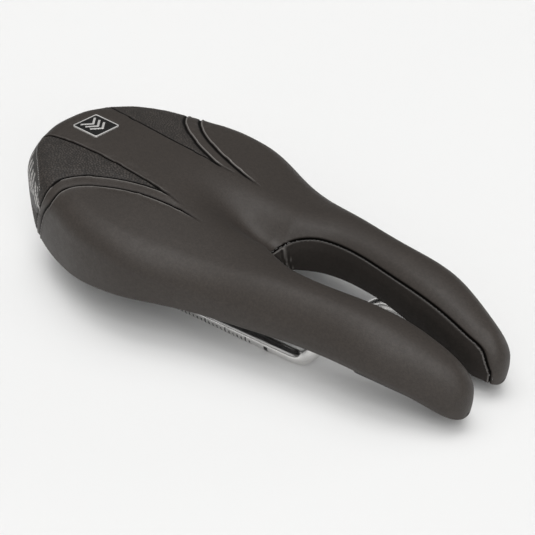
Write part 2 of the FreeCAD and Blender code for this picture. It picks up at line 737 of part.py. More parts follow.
# ---------------------------------------------------------------- cover and slot liner
outer = planform(0.0).common(under_top).cut(under_skirt)
cavity = planform(cover_thick).common(raised(under_top, -cover_thick)).cut(under_lip)
lip_opening = planform(size("lip_wide") + cover_thick).common(under_lip)
cover = cut_all(outer.cut(cavity), [lip_opening, grown_slot, staples] + rebates
                + [badge_seat(0.1, 6, -0.05), strip_rebate])
feature("top_cover", cover)
feature("slot_liner", largest(outer.common(slot_prism(liner_thick))))

# ---------------------------------------------------------------- foam
foam = planform(cover_thick + gap).common(raised(under_top, -cover_thick - gap))
feature("foam_pad", cut_all(foam, [raised(under_base, shell_thick + gap), grown_slot,
                                   Part.makeCompound(bosses), badge_seat(2, 8, -0.6)]))

# ---------------------------------------------------------------- slot seam thread
thread_radius, stitch_len = size("thread_dia") / 2, size("stitch_len")
stitches = []
run = 0.0
previous = None
for point, normal in border:
    station = point.x + rear
    if not (146 < station < 238 and abs(point.y) < 14.6):
        previous = None
        continue
    if previous is not None:
        run += (point - previous).Length
    previous = point
    if run < size("stitch_pitch"):
        continue
    run = 0.0
    # over the joint between liner and cover, just above the surface
    joint = point + normal * (liner_thick + gap / 2)
    z = saddle_top(station, point.y) + ref_height - slot_shoulder(1.5) + thread_radius + 0.15
    along = Vector(-normal.y, normal.x, 0)
    start = Vector(joint.x, joint.y, z) - along * (stitch_len / 2)
    stitches.append(Part.makeCylinder(thread_radius, stitch_len, start, along))
feature("slot_seam_thread", Part.makeCompound(stitches))

# ---------------------------------------------------------------- check and export
doc.recompute()
bad = [(o.Label, o.State) for o in doc.Objects
       if any(state in ("Invalid", "Error") for state in o.State)]
bad += [(o.Label, "shape") for o in nodes
        if o.Shape.isNull() or not o.Shape.isValid() or not o.Shape.Solids]
if bad:
    raise SystemExit("failed objects: %s" % bad)
os.makedirs("parts", exist_ok=True)
for node in nodes:
    node.Shape.exportStep("parts/%s.step" % node.Label)
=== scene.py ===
# A padded saddle on twin rails. A slot opens at the front and splits the nose in two.
# Sizes are millimetres in the row frame: x runs forward from the rear edge, y to the left and
# z up, with the crown reference at 50. Built meshes are moved 115 back and scaled to metres.
import math
from itertools import product

import bpy
import bmesh
import numpy as np
from mathutils import Matrix, Vector
from mathutils.bvhtree import BVHTree
from mathutils.kdtree import KDTree
from mathutils.geometry import delaunay_2d_cdt


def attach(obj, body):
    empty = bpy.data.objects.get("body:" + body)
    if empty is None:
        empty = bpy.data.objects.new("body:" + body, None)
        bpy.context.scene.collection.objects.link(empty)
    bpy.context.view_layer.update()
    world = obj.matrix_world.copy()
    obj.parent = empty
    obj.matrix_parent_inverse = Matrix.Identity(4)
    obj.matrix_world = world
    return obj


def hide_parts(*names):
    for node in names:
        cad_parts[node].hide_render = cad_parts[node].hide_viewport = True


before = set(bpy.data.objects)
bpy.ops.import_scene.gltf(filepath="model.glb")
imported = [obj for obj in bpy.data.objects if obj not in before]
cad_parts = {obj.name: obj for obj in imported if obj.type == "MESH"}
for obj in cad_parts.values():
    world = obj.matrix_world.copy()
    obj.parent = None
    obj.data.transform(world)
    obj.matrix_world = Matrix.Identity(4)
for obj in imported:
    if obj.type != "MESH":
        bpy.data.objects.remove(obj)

for leftover in ("Cube", "Light", "Camera"):
    if leftover in bpy.data.objects:
        bpy.data.objects.remove(bpy.data.objects[leftover])
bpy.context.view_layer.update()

ORIGIN = np.array([115.0, 0.0, 0.0])    # built origin in the row frame
CROWN_BASE = 50.0                       # z of the crown reference
MM = 0.001                              # metres in a millimetre

# ---------------------------------------------------------------- sizes of the padded body
SLOT_END = 139.4                        # x of the slot's rear end

# (x, y) of the left half outline: from the rear centre, round the nose tip, into the slot
EDGE = [
    (0, 0), (0.6, 15.3), (3.7, 26.8), (9.5, 35.6), (17.7, 42.9), (28.3, 49.2), (40.9, 54.7),
    (55.4, 59.3), (68.7, 62.3), (81.0, 63.1), (94.6, 62.1), (108.0, 58.3), (122.0, 53.5),
    (140.6, 48.9), (162.0, 44.8), (184.8, 41.0), (205.0, 39.2), (218.5, 37.2), (230.4, 33.2),
    (242.3, 28.6), (250.4, 24.4), (254.2, 19.4), (254.9, 15.7), (254.4, 12.0), (251.6, 8.2),
    (244.8, 5.9)]
# (x, y) of the slot's left side, from the mouth back to its rear end
SLOT = [
    (234.6, 6.0), (222.4, 7.0), (208.6, 8.5), (194.1, 10.7), (180.0, 13.1), (166.5, 14.0),
    (155.3, 12.3), (146.7, 8.2), (141.3, 4.0), (SLOT_END, 0)]

REAR_HALF, REAR_LENGTH = 62.6, 71.3     # half width of the rounded rear, and its extent in x
REAR_FALL, NOSE_FALL = 5.3, 6.1         # drop of the crown from its middle to the sides
SPLIT_BLEND = 11.3                      # length over which one body turns into two noses
HOLLOW_DEPTH, HOLLOW_LENGTH, HOLLOW_HALF = 10.1, 26.4, 10.4   # dip behind the slot
HOLLOW_X = SLOT_END - 7.6
SLOT_ROUND = 23.7                       # length of the slot's rounded rear end


# ---------------------------------------------------------------- curves
def cubic_span(bend_a, bend_b, value_a, value_b, span, left, done):
    """Cubic between two knots, from the second derivatives and values at both."""
    return (bend_a * left ** 3 / (6 * span) + bend_b * done ** 3 / (6 * span)
            + (value_a / span - bend_a * span / 6) * left
            + (value_b / span - bend_b * span / 6) * done)


def natural_spline(knots, values):
    knots, values = np.array(knots, float), np.array(values, float)
    count = len(knots)
    spans = np.diff(knots)
    matrix = np.eye(count)
    right = np.zeros(count)
    for i in range(1, count - 1):
        before, after = spans[i - 1], spans[i]
        matrix[i, i - 1:i + 2] = before, 2 * (before + after), after
        right[i] = 6 * ((values[i + 1] - values[i]) / after - (values[i] - values[i - 1]) / before)
    bend = np.linalg.solve(matrix, right)

    def curve(x):
        x = np.clip(np.asarray(x, float), knots[0], knots[-1])
        i = np.clip(np.searchsorted(knots, x) - 1, 0, count - 2)
        return cubic_span(bend[i], bend[i + 1], values[i], values[i + 1], spans[i],
                          knots[i + 1] - x, x - knots[i])
    return curve


def closed_spline(points, per_span=60):
    """Periodic cubic through the points, with chord-length spacing."""
    count = len(points)
    spans = np.linalg.norm(np.roll(points, -1, 0) - points, axis=1)
    matrix = np.zeros((count, count))
    right = np.zeros((count, points.shape[1]))
    for i in range(count):
        following = (i + 1) % count
        before, after = spans[i - 1], spans[i]
        matrix[i, i - 1] += before
        matrix[i, i] += 2 * (before + after)
        matrix[i, following] += after
        right[i] = 6 * ((points[following] - points[i]) / after
                        - (points[i] - points[i - 1]) / before)
    bend = np.linalg.solve(matrix, right)
    out = []
    for i in range(count):
        j = (i + 1) % count
        done = np.linspace(0, 1, per_span, endpoint=False)[:, None] * spans[i]
        out.append(cubic_span(bend[i], bend[j], points[i], points[j], spans[i],
                              spans[i] - done, done))
    return np.concatenate(out)


def smooth_path(points, step):
    """Natural cubic through the points, sampled at an even chord-length step."""
    points = np.array(points, float)
    chords = np.linalg.norm(np.diff(points, axis=0), axis=1)
    run = np.concatenate([[0], np.cumsum(chords)])
    curves = [natural_spline(run, points[:, k]) for k in range(points.shape[1])]
    at = np.arange(0, run[-1], step)
    return np.column_stack([curve(at) for curve in curves])


def unit(rows):
    return rows / np.linalg.norm(rows, axis=1)[:, None]


def tangents(path):
    return unit(np.gradient(path, axis=0))


def ramp(x, start, end):
    return np.clip((x - start) / (end - start), 0, 1)


def smoothstep(x, start, end):
    t = ramp(x, start, end)
    return t * t * (3 - 2 * t)


def kd_tree(points):
    tree = KDTree(len(points))
    for i, point in enumerate(points):
        tree.insert(Vector(point), i)
    tree.balance()
    return tree


# ---------------------------------------------------------------- form of the body
# each profile: stations in x, then the value at each station
crown_line = natural_spline(            # middle of the top over the crown reference
    [0, 28.3, 56.6, 89.7, 122.7, 155.8, 188.8, 221.8, 254.9],
    [17.0, 15.1, 11.8, 6.8, -0.3, -3.1, -5.8, -10.7, -26.4])
skirt_drop = natural_spline(            # depth of the side wall
    [0, 56.6, 89.7, 122.7, 155.8, 188.8, 221.8, 254.9],
    [34.4, 35.2, 28.6, 21.2, 18.3, 16.2, 15.2, 14.5])
front_half = natural_spline(            # half width of the body ahead of the rounded rear
    [60.0, 71.3, 89.7, 122.7, 155.8, 188.8, 221.8, 247.3, 254.9],
    [62.4, 62.6, 62.8, 53.3, 46.0, 40.5, 36.1, 26.9, 25.4])
slot_profile = natural_spline(          # half width of the slot
    [127.5, 132.2, 160.5, 198.2, 247.3, 254.9],
    [9.3, 9.3, 13.7, 10.05, 5.1, 4.6])


def outer_half(x):
    rear = REAR_HALF * np.clip(1 - np.clip(1 - x / REAR_LENGTH, 0, 1) ** 1.2, 0, 1) ** (1 / 3.27)
    return np.where(x < REAR_LENGTH, rear, front_half(x))


def slot_half(x):
    t = np.clip((x - SLOT_END) / SLOT_ROUND, 0, 1)
    ahead = slot_profile(np.clip(x, SLOT_END, 255)) * np.sqrt(np.clip(1 - (1 - t) ** 2, 0, 1))
    return np.where(x > SLOT_END, ahead, 0.0)


def split_share(x):
    """0 where the body is whole, 1 where it is two noses."""
    return 1 / (1 + np.exp(-(x - SLOT_END) / SPLIT_BLEND))


def crown(x, y):
    """Height of the top before the shoulders are rounded."""
    outer, inner = outer_half(x), slot_half(x)
    middle, half_width = (outer + inner) / 2, (outer - inner) / 2
    split = split_share(x)
    off = np.abs(y)
    # the nose ridge is blunted near the slot's rear end
    blunt = np.sqrt(off ** 2 + (4.5 * (1 - np.clip((x - SLOT_END) / 20, 0, 1))) ** 2)
    z = crown_line(x) - (REAR_FALL * np.clip(off / np.maximum(outer, 5), 0, 1.2) ** 2.5
                         * (1 - split))
    across = np.clip(np.abs(blunt - middle) / np.maximum(half_width, 3), 0, 1.3)
    z = z - NOSE_FALL * across ** 2 * split
    z = z - (HOLLOW_DEPTH * np.exp(-((x - HOLLOW_X) / HOLLOW_LENGTH) ** 2)
             * np.exp(-(off / HOLLOW_HALF) ** 2))
    return z + CROWN_BASE


def crown_point(x, y):
    return float(crown(np.array([x]), np.array([y]))[0])


def skirt_z(x):
    """Height of the body's lower edge."""
    split = split_share(x)
    return (crown_line(x) - REAR_FALL * (1 - split) - NOSE_FALL * split
            - skirt_drop(x) + CROWN_BASE)


# ---------------------------------------------------------------- outline stations
def mirrored(points):
    return [(x, -y) for x, y in reversed(points)]


dense = closed_spline(np.array(EDGE + SLOT + mirrored(SLOT[:-1]) + mirrored(EDGE[1:]), float))
dense_closed = np.vstack([dense, dense[:1]])
dense_run = np.concatenate([[0], np.cumsum(np.linalg.norm(np.roll(dense, -1, 0) - dense,
                                                          axis=1))])
LOOP = dense_run[-1]
HALF_LOOP = LOOP / 2                    # the slot's rear end lies half way round


def at_arc(s):
    """Outline point a distance s from the rear centre, the left side first."""
    s = np.mod(s, LOOP)
    return np.stack([np.interp(s, dense_run, dense_closed[:, k]) for k in (0, 1)], -1)


def station_step(point):
    """Spacing along the outline, finer where pressed lines and seams cross it."""
    x, off = point[0], abs(point[1])
    if off > 15.5 and x < 60:
        if 16 < x < 52:
            return 0.5
        return 0.6 if 18 < off < 27 and x < 8 else 0.9
    if x < 10:
        return 1.0
    if x > 236:
        return 0.8
    if off < 15 and x > 135:
        return 1.0
    return 1.5


def outline_stations():
    half, s = [0.0], 0.0
    while s < HALF_LOOP - 0.8:
        s += station_step(at_arc(s)) * 1.0
        half.append(min(s, HALF_LOOP))
    if HALF_LOOP - half[-1] < 0.3:
        half[-1] = HALF_LOOP
    else:
        half.append(HALF_LOOP)
    half = np.array(half)
    return np.concatenate([half, (LOOP - half[1:-1])[::-1]]), len(half) - 1


stations, SLOT_STATION = outline_stations()
RING = len(stations)
outline = at_arc(stations)
along = unit(at_arc(stations + 0.4) - at_arc(stations - 0.4))
inward = np.stack([along[:, 1], -along[:, 0]], 1)     # horizontal, into the material


def smooth_ring(values, width=5.0):
    """Moving average by arc length round the closed outline."""
    out = np.empty_like(values)
    weights = np.gradient(np.concatenate([[stations[-1] - LOOP], stations, [LOOP]]))[1:-1]
    for i in range(RING):
        gap = np.abs(stations - stations[i])
        gap = np.minimum(gap, LOOP - gap)
        kernel = np.exp(-(gap / width) ** 2) * weights
        out[i] = (kernel * values).sum() / kernel.sum()
    return out


def shoulder_radius(outside, tip_loss, slot=7.5):
    """Radius round the outline; the outer side loses tip_loss towards the nose tips."""
    x, off = outline[:, 0], np.abs(outline[:, 1])
    in_slot = ((off < 15) & (x > 135) & (x < 245)).astype(float)
    tip = np.clip((x - 222) / 22, 0, 1)
    return smooth_ring(in_slot * slot + (1 - in_slot) * (outside - tip_loss * tip))


radius_in = shoulder_radius(outside=11.8, tip_loss=2.6)      # across the top
radius_down = shoulder_radius(outside=9.9, tip_loss=1.4)     # down the side


def nearest_outline(points):
    """Distance to the outline and the nearest station, for each (x, y)."""
    distance = np.empty(len(points))
    nearest = np.empty(len(points), int)
    batch = 4000
    for a in range(0, len(points), batch):
        q = points[a:a + batch]
        squared = ((q[:, None, 0] - outline[None, :, 0]) ** 2
                   + (q[:, None, 1] - outline[None, :, 1]) ** 2)
        nearest[a:a + batch] = squared.argmin(1)
        distance[a:a + batch] = np.sqrt(squared.min(1))
    # close by, the distance is taken along the normal, where the chord error vanishes
    straight = np.abs(((points - outline[nearest]) * inward[nearest]).sum(1))
    return np.where(distance < 3, np.minimum(distance, straight), distance), nearest


def top_height(points):
    """Height of the top, rounded shoulders included."""
    distance, k = nearest_outline(points)
    t = np.clip(distance / radius_in[k], 0, 1)
    return (crown(points[:, 0], points[:, 1])
            - radius_down[k] * (1 - np.sqrt(np.clip(1 - (1 - t) ** 2, 0, 1))))


# ---------------------------------------------------------------- border: shoulder, wall, fold
SHOULDER_ANGLES = [52, 49.2, 46.9, 45, 43.1, 40.8, 37.4, 32, 24, 16, 8, 0]
SHOULDER_ROWS = len(SHOULDER_ANGLES)
WALL_ROWS = 22
WALL_END = SHOULDER_ROWS + WALL_ROWS    # row where the folded edge starts
FOLD = [(0.75, 0.65), (1.15, 0.2), (1.8, 0.0), (3.4, 0.0), (5.0, 0.02), (6.3, 0.05)]  # inset, rise


def border_rows():
    """Rows round the outline, from the rim of the top down to under the lower edge."""
    x, off = outline[:, 0], np.abs(outline[:, 1])
    # the slot's walls hang lower towards the nose
    deeper = 2.3 * smoothstep(x, 188, 212) * (1 - smoothstep(x, 241, 250)) * (off < 12)
    lower = skirt_z(x) - deeper
    rows = []
    for angle in SHOULDER_ANGLES:
        cosine, sine = math.cos(math.radians(angle)), math.sin(math.radians(angle))
        q = outline + inward * (radius_in * (1 - cosine))[:, None]
        rows.append(np.column_stack([q, crown(q[:, 0], q[:, 1]) - radius_down * (1 - sine)]))
    upper = np.maximum(rows[-1][:, 2], lower + 3.0)
    rows[-1][:, 2] = upper
    for i in range(1, WALL_ROWS + 1):
        t = i / WALL_ROWS
        q = outline + inward * (0.6 * t - 0.35 * math.sin(math.pi * t))
        rows.append(np.column_stack([q, upper + (lower + 1.3 - upper) * t]))
    for inset, rise in FOLD:
        q = outline + inward * inset
        hang = deeper * (1 - smoothstep(inset, 1.0, 6.0))
        rows.append(np.column_stack([q, skirt_z(q[:, 0]) + rise - hang]))
    return np.array(rows)


border = border_rows()
ROWS = len(border)

# ---------------------------------------------------------------- pressed lines
# Left side; the right mirrors it. top: (x, y), from the front back to the rear edge.
# wall: (x, y, z) on down the wall, with None for y where it is the outline's own.
# lead: (x, y) ahead of the line, where it still parts two pieces. beyond: side value far away.
# fade: strength against x. press: depth and height of the lips beside the groove.
BAND_PRESS = dict(depth=0.9, lip_out=0.40, lip_in=0.0, inner_width=1.05)
PRESSED = {
    "panel_edge": dict(
        top=[(90.5, 18.9), (84, 18.7), (72, 18.3), (58, 18.0), (44, 18.3), (32, 18.8),
             (20, 20.1), (12, 21.2), (5.5, 22.2)],
        wall=[(1.6, 22.6, 49.0), (1.7, 22.6, 40.0), (1.8, 22.6, 26.0)],
        lead=[], beyond=-99.0,
        fade=lambda x: 1 - ramp(x, 86.5, 90.5),
        press=dict(depth=0.8, lip_out=0.05, lip_in=0.16)),
    "band_inner": dict(
        top=[(96, 19.7), (90, 19.15), (86.5, 19.2), (83, 19.9), (79, 21.2), (72, 23.6),
             (64.7, 26.9), (59.2, 29.9), (54, 33.2), (50.3, 35.9), (46.5, 39.9), (43.5, 44.4)],
        wall=[(38.6, None, 50.8), (36.0, None, 46.5), (32.0, None, 40.5), (27.3, None, 33.0),
              (22.8, None, 24.0)],
        lead=[(113, 22.2), (105, 21.1), (100, 20.2)], beyond=-99.0,
        fade=lambda x: 1 - 0.7 * ramp(x, 86.5, 90) - 0.3 * ramp(x, 94, 103),
        press=BAND_PRESS),
    "band_outer": dict(
        top=[(112, 21.8), (105, 22.5), (97, 23.6), (88, 25.6), (79, 28.4), (70, 32.2),
             (62, 36.8), (56, 41.4), (51.6, 46.2), (49.0, 50.0)],
        wall=[(45.4, None, 51.4), (42.2, None, 47.5), (38.7, None, 43.0), (34.5, None, 36.0),
              (30.4, None, 29.3), (27.0, None, 23.0)],
        lead=[], beyond=99.0,
        fade=lambda x: 1 - ramp(x, 99, 112.5),
        press=BAND_PRESS)}


def outline_y(x):
    left = dense[(dense[:, 1] > 0) & (dense[:, 0] < 90)]
    order = np.argsort(left[:, 0])
    return np.interp(x, left[order, 0], left[order, 1])


flat_lines, pressed_lines = [], []      # paths on the top; (name, side, path in space)
for name, line in PRESSED.items():
    top = np.array(line["top"], float)
    wall = np.array([(x, outline_y(x) if y is None else y, z) for x, y, z in line["wall"]], float)
    path = smooth_path(np.vstack([np.column_stack([top, top_height(top)]), wall]), 0.4)
    for side in (1, -1):
        pressed_lines.append((name, side, path * [1, side, 1]))
        flat_lines.append(smooth_path(top, 0.7) * [1, side])


# ---------------------------------------------------------------- interior of the top
NEIGHBOURS = list(product((-1, 0, 1), repeat=3))


class SpacedPoints:
    """Points held in grid cells; the cell must be larger than any gap asked for."""

    def __init__(self, cell):
        self.cell = cell
        self.points = []
        self.grid = {}

    def key(self, x, y, z):
        return int(x // self.cell), int(y // self.cell), int(z // self.cell)

    def is_clear(self, x, y, z=0.0, *, gap_squared):
        i, j, k = self.key(x, y, z)
        for a, b, c in NEIGHBOURS:
            for px, py, pz in self.grid.get((i + a, j + b, k + c), ()):
                if (px - x) ** 2 + (py - y) ** 2 + (pz - z) ** 2 < gap_squared:
                    return False
        return True

    def add(self, x, y, z=0.0):
        self.grid.setdefault(self.key(x, y, z), []).append((x, y, z))
        self.points.append((x, y, z))
        return len(self.points) - 1


def inside(points, polygon):
    result = np.zeros(len(points), bool)
    x, y = points[:, 0], points[:, 1]
    for (x1, y1), (x2, y2) in zip(polygon, np.roll(polygon, -1, 0)):
        if y1 != y2:
            result ^= ((y1 > y) != (y2 > y)) & (x < (x2 - x1) * (y - y1) / (y2 - y1) + x1)
    return result


def triangulate_top():
    """Triangles within the border's first row, dense along the pressed lines."""
    rim = border[0][:, :2]
    spaced = SpacedPoints(cell=2)
    for point in rim:
        spaced.add(*point)
    edges = [(i, (i + 1) % RING) for i in range(RING)]

    def within(points, margin):
        distance, k = nearest_outline(points)
        limit = radius_in[k] * (1 - math.cos(math.radians(SHOULDER_ANGLES[0])))
        return inside(points, rim) & (distance > limit + margin)

    def add_clear(points, allowed, gap):
        for point, ok in zip(points, allowed):
            if ok and spaced.is_clear(*point, gap_squared=gap * gap):
                spaced.add(*point)

    beside = []
    for path in flat_lines:
        direction = tangents(path)
        across = np.stack([-direction[:, 1], direction[:, 0]], 1)
        previous = None
        for point, ok in zip(path, within(path, 0.25)):
            if not ok or not spaced.is_clear(*point, gap_squared=0.3 * 0.3):
                previous = None
                continue
            current = spaced.add(*point)
            if previous is not None:
                edges.append((previous, current))
            previous = current
        for offset in (0.28, 0.6, 1.0, 1.5):
            for side in (1, -1):
                beside.append(path + across * offset * side)
    for path in beside:
        add_clear(path, within(path, 0.3), gap=0.22)
    # the rest of the shoulder's rounding
    for angle in (60, 68, 76, 83, 90):
        inset = radius_in * (1 - math.cos(math.radians(angle)))
        row = outline + inward * inset[:, None]
        add_clear(row, nearest_outline(row)[0] > inset - 0.25, gap=0.62)
    # triangular lattice over what is left
    pitch = 1.35
    x, y = np.meshgrid(np.arange(0, 256, pitch), np.arange(-66, 66, pitch * 0.866))
    x = x + (np.arange(x.shape[0])[:, None] % 2) * pitch / 2
    lattice = np.column_stack([x.ravel(), y.ravel()])
    add_clear(lattice, within(lattice, 0.7), gap=0.95 * pitch * 0.72)

    flat = [Vector((float(x), float(y))) for x, y, _ in spaced.points]
    points, _, faces, sources, _, _ = delaunay_2d_cdt(flat, edges, [], 1, 1e-5)
    points = np.array([(p[0], p[1]) for p in points], float)
    made_from = {source: i for i, group in enumerate(sources) for source in group}
    rim_ids = np.array([made_from[i] for i in range(RING)])
    triangles = np.array([f for f in faces if len(f) == 3], int)
    triangles = triangles[inside(points[triangles].mean(1), rim)]
    a, b, c = (points[triangles[:, k]] for k in range(3))
    clockwise = ((b[:, 0] - a[:, 0]) * (c[:, 1] - a[:, 1])
                 - (b[:, 1] - a[:, 1]) * (c[:, 0] - a[:, 0])) < 0
    triangles[clockwise] = triangles[clockwise][:, ::-1]
    return points, rim_ids, triangles


top_points, rim_ids, tris = triangulate_top()
TOP_COUNT = len(top_points)
body = np.column_stack([top_points, top_height(top_points)])
body[rim_ids] = border[0]
body = np.vstack([body] + list(border[1:]))


def vertex_id(row, station):
    station %= RING
    return rim_ids[station] if row == 0 else TOP_COUNT + (row - 1) * RING + station


quads, quad_row, quad_station = [], [], []
for row in range(ROWS - 1):
    for i in range(RING):
        quads.append((vertex_id(row, i + 1), vertex_id(row + 1, i + 1),
                      vertex_id(row + 1, i), vertex_id(row, i)))
        quad_row.append(row)
        quad_station.append(i)
quads, quad_row, quad_station = (np.array(a, int) for a in (quads, quad_row, quad_station))


def vertex_normals(points):
    total = np.zeros_like(points)
    p = points[tris]
    of_tris = np.cross(p[:, 1] - p[:, 0], p[:, 2] - p[:, 0])
    for k in range(3):
        np.add.at(total, tris[:, k], of_tris)
    p = points[quads]
    of_quads = np.cross(p[:, 2] - p[:, 0], p[:, 3] - p[:, 1])
    for k in range(4):
        np.add.at(total, quads[:, k], of_quads)
    return total / (np.linalg.norm(total, axis=1)[:, None] + 1e-12)


body_normals = vertex_normals(body)

# ---------------------------------------------------------------- relief pressed into the skin
GROOVE_WIDTH = 0.52
LIP_OFFSET, LIP_WIDTH = 0.98, 0.38


def line_field(path, mask, turn=1):
    """For each vertex: distance to the line, signed side of it, nearest sample of it."""
    direction = tangents(path)
    gap = np.full(len(body), 99.0)
    side = np.full(len(body), 99.0)
    nearest = np.zeros(len(body), int)
    chosen = np.nonzero(mask)[0]
    for a in range(0, len(chosen), 2500):
        ids = chosen[a:a + 2500]
        q, n = body[ids], body_normals[ids]
        k = ((q[:, None, :] - path[None, :, :]) ** 2).sum(2).argmin(1)
        delta = q - path[k]
        delta -= (delta * n).sum(1)[:, None] * n
        t = direction[k] - (direction[k] * n).sum(1)[:, None] * n
        t /= np.linalg.norm(t, axis=1)[:, None] + 1e-9
        signed = (delta * np.cross(t, n)).sum(1) * turn
        at_end = (k == 0) | (k == len(path) - 1)
        far = np.linalg.norm(q - path[k], axis=1)
        gap[ids] = np.where(at_end | (far > 4), far, np.abs(signed))
        side[ids] = signed
        nearest[ids] = k
    return gap, side, nearest


class Relief:
    """What the pressed lines do at each vertex."""

    def __init__(self, count):
        self.groove = np.zeros(count)
        self.lip = np.zeros(count)
        self.height = np.zeros(count)
        self.line_gap = np.full(count, 99.0)

    def press(self, field, strength, depth, lip_out, lip_in, inner_width=GROOVE_WIDTH):
        """Press one line; strength is given at each of its samples."""
        gap, side, nearest = field
        here = strength[nearest]
        self.line_gap = np.where(here > 0.35, np.minimum(self.line_gap, gap), self.line_gap)
        groove = np.exp(-(gap / np.where(side > 0, GROOVE_WIDTH, inner_width)) ** 2) * here
        lip = (np.where(side > 0, lip_out, lip_in)
               * np.exp(-((gap - LIP_OFFSET) / LIP_WIDTH) ** 2) * here)
        self.lip = np.maximum(self.lip, np.clip(lip / 0.42, 0, 1))
        self.height = self.height - depth * groove + lip
        self.groove = np.maximum(self.groove, groove)


relief = Relief(len(body))
line_side = {name: np.full(len(body), line["beyond"]) for name, line in PRESSED.items()}
for name, side, path in pressed_lines:
    line = PRESSED[name]
    if line["lead"]:
        lead = smooth_path(np.array(line["lead"] + line["top"][:1], float) * [1, side], 0.4)
        path = np.vstack([np.column_stack([lead, top_height(lead)]), path])
    mask = (body[:, 0] < 122) & (body[:, 1] * side > 0.5)
    field = line_field(path, mask, side)
    relief.press(field, line["fade"](path[:, 0]), **line["press"])
    line_side[name][mask] = field[1][mask]
rear_line_gap = relief.line_gap.copy()


# ---------------------------------------------------------------- seam of the slot liner
SEAM_START = 310.0                      # arc position where the seam leaves the lower edge
SEAM_ROW = 3
# (arc position, border row) of the seam's climb up the wall near the nose tip
SEAM_CLIMB = [
    (SEAM_START, ROWS - 1), (SEAM_START, (ROWS - 1 + WALL_END) / 2), (SEAM_START, WALL_END),
    (SEAM_START, WALL_END - 4), (SEAM_START, 27), (310.1, 20), (310.4, 14), (311.0, 11),
    (312.0, 9.4), (313.6, 7.2), (315.4, 5.2), (317.4, 3.8), (320.0, 3.0)]
JOIN_ROWS = (3.6, 6, 9, 12, 16, 20, 24, 28, WALL_END)


def on_border(s, row):
    upper = int(np.clip(math.floor(row), 0, ROWS - 2))
    t = row - upper
    a, b = (np.array([np.interp(s, stations, border[r, :, k]) for k in range(3)])
            for r in (upper, upper + 1))
    return a * (1 - t) + b * t


def seam_path():
    """Up the left nose, round the slot and down the right nose."""
    points = [on_border(s, row) for s, row in SEAM_CLIMB]
    points += [on_border(s, SEAM_ROW) for s in np.arange(323.0, HALF_LOOP + 0.01, 3.0)]
    half = smooth_path(points, 0.3)
    half = half[half[:, 1] > 0.0]
    # smoothed with a bell kernel over ends mirrored through their last points
    padded = np.vstack([2 * half[0] - half[12:0:-1], half, 2 * half[-1] - half[-2:-14:-1]])
    kernel = np.hanning(27)[1:-1]
    kernel = kernel / kernel.sum()
    half = np.stack([np.convolve(padded[:, c], kernel, "valid") for c in range(3)], 1)
    return np.vstack([half, [on_border(HALF_LOOP, SEAM_ROW)], half[::-1] * [1, -1, 1]])


seam = seam_path()
slot_mask = (body[:, 0] > 134) & (np.abs(body[:, 1]) < 19)
seam_gap, seam_side, seam_nearest = line_field(seam, slot_mask)
if seam_side[vertex_id(SEAM_ROW + 4, SLOT_STATION)] < 0:
    seam_side = -seam_side              # positive on the liner
relief.press((seam_gap, seam_side, seam_nearest), np.ones(len(seam)),
             depth=0.75, lip_out=0.30, lip_in=0.05)
# the liner strip is joined in the slot's rear end: two short rows down the wall
for before_end, strength in ((3.6, 0.30), (6.0, 0.24)):
    start = HALF_LOOP - before_end + 0.9
    join = smooth_path([on_border(start - 0.06 * row, row) for row in JOIN_ROWS], 0.3)
    relief.press(line_field(join, slot_mask), np.full(len(join), strength),
                 depth=1.3, lip_out=0.9, lip_in=0.9)

# ---------------------------------------------------------------- seat let in for the badge
BADGE_X, BADGE_HALF = 22.5, 8.4
SEAT_HALF, SEAT_BLEND, SEAT_DEPTH = 8.42, 0.55, 1.2
badge_slope = (crown_point(BADGE_X + 6, 5.0) - crown_point(BADGE_X - 6, 5.0)) / 12
badge_tilt = math.atan(badge_slope)
reach = np.maximum(np.abs(body[:, 0] - BADGE_X) / math.cos(badge_tilt), np.abs(body[:, 1]))
near_badge = (body[:, 2] > 45) & (reach < 12) & (body[:, 0] < 60)
seat = np.where(near_badge, 1 - np.clip((reach - SEAT_HALF) / SEAT_BLEND, 0, 1), 0.0)
relief.height -= SEAT_DEPTH * seat * seat * (3 - 2 * seat)


# ---------------------------------------------------------------- padding
def coordinates(mesh):
    flat = np.empty(len(mesh.vertices) * 3)
    mesh.vertices.foreach_get("co", flat)
    return flat.reshape(-1, 3)


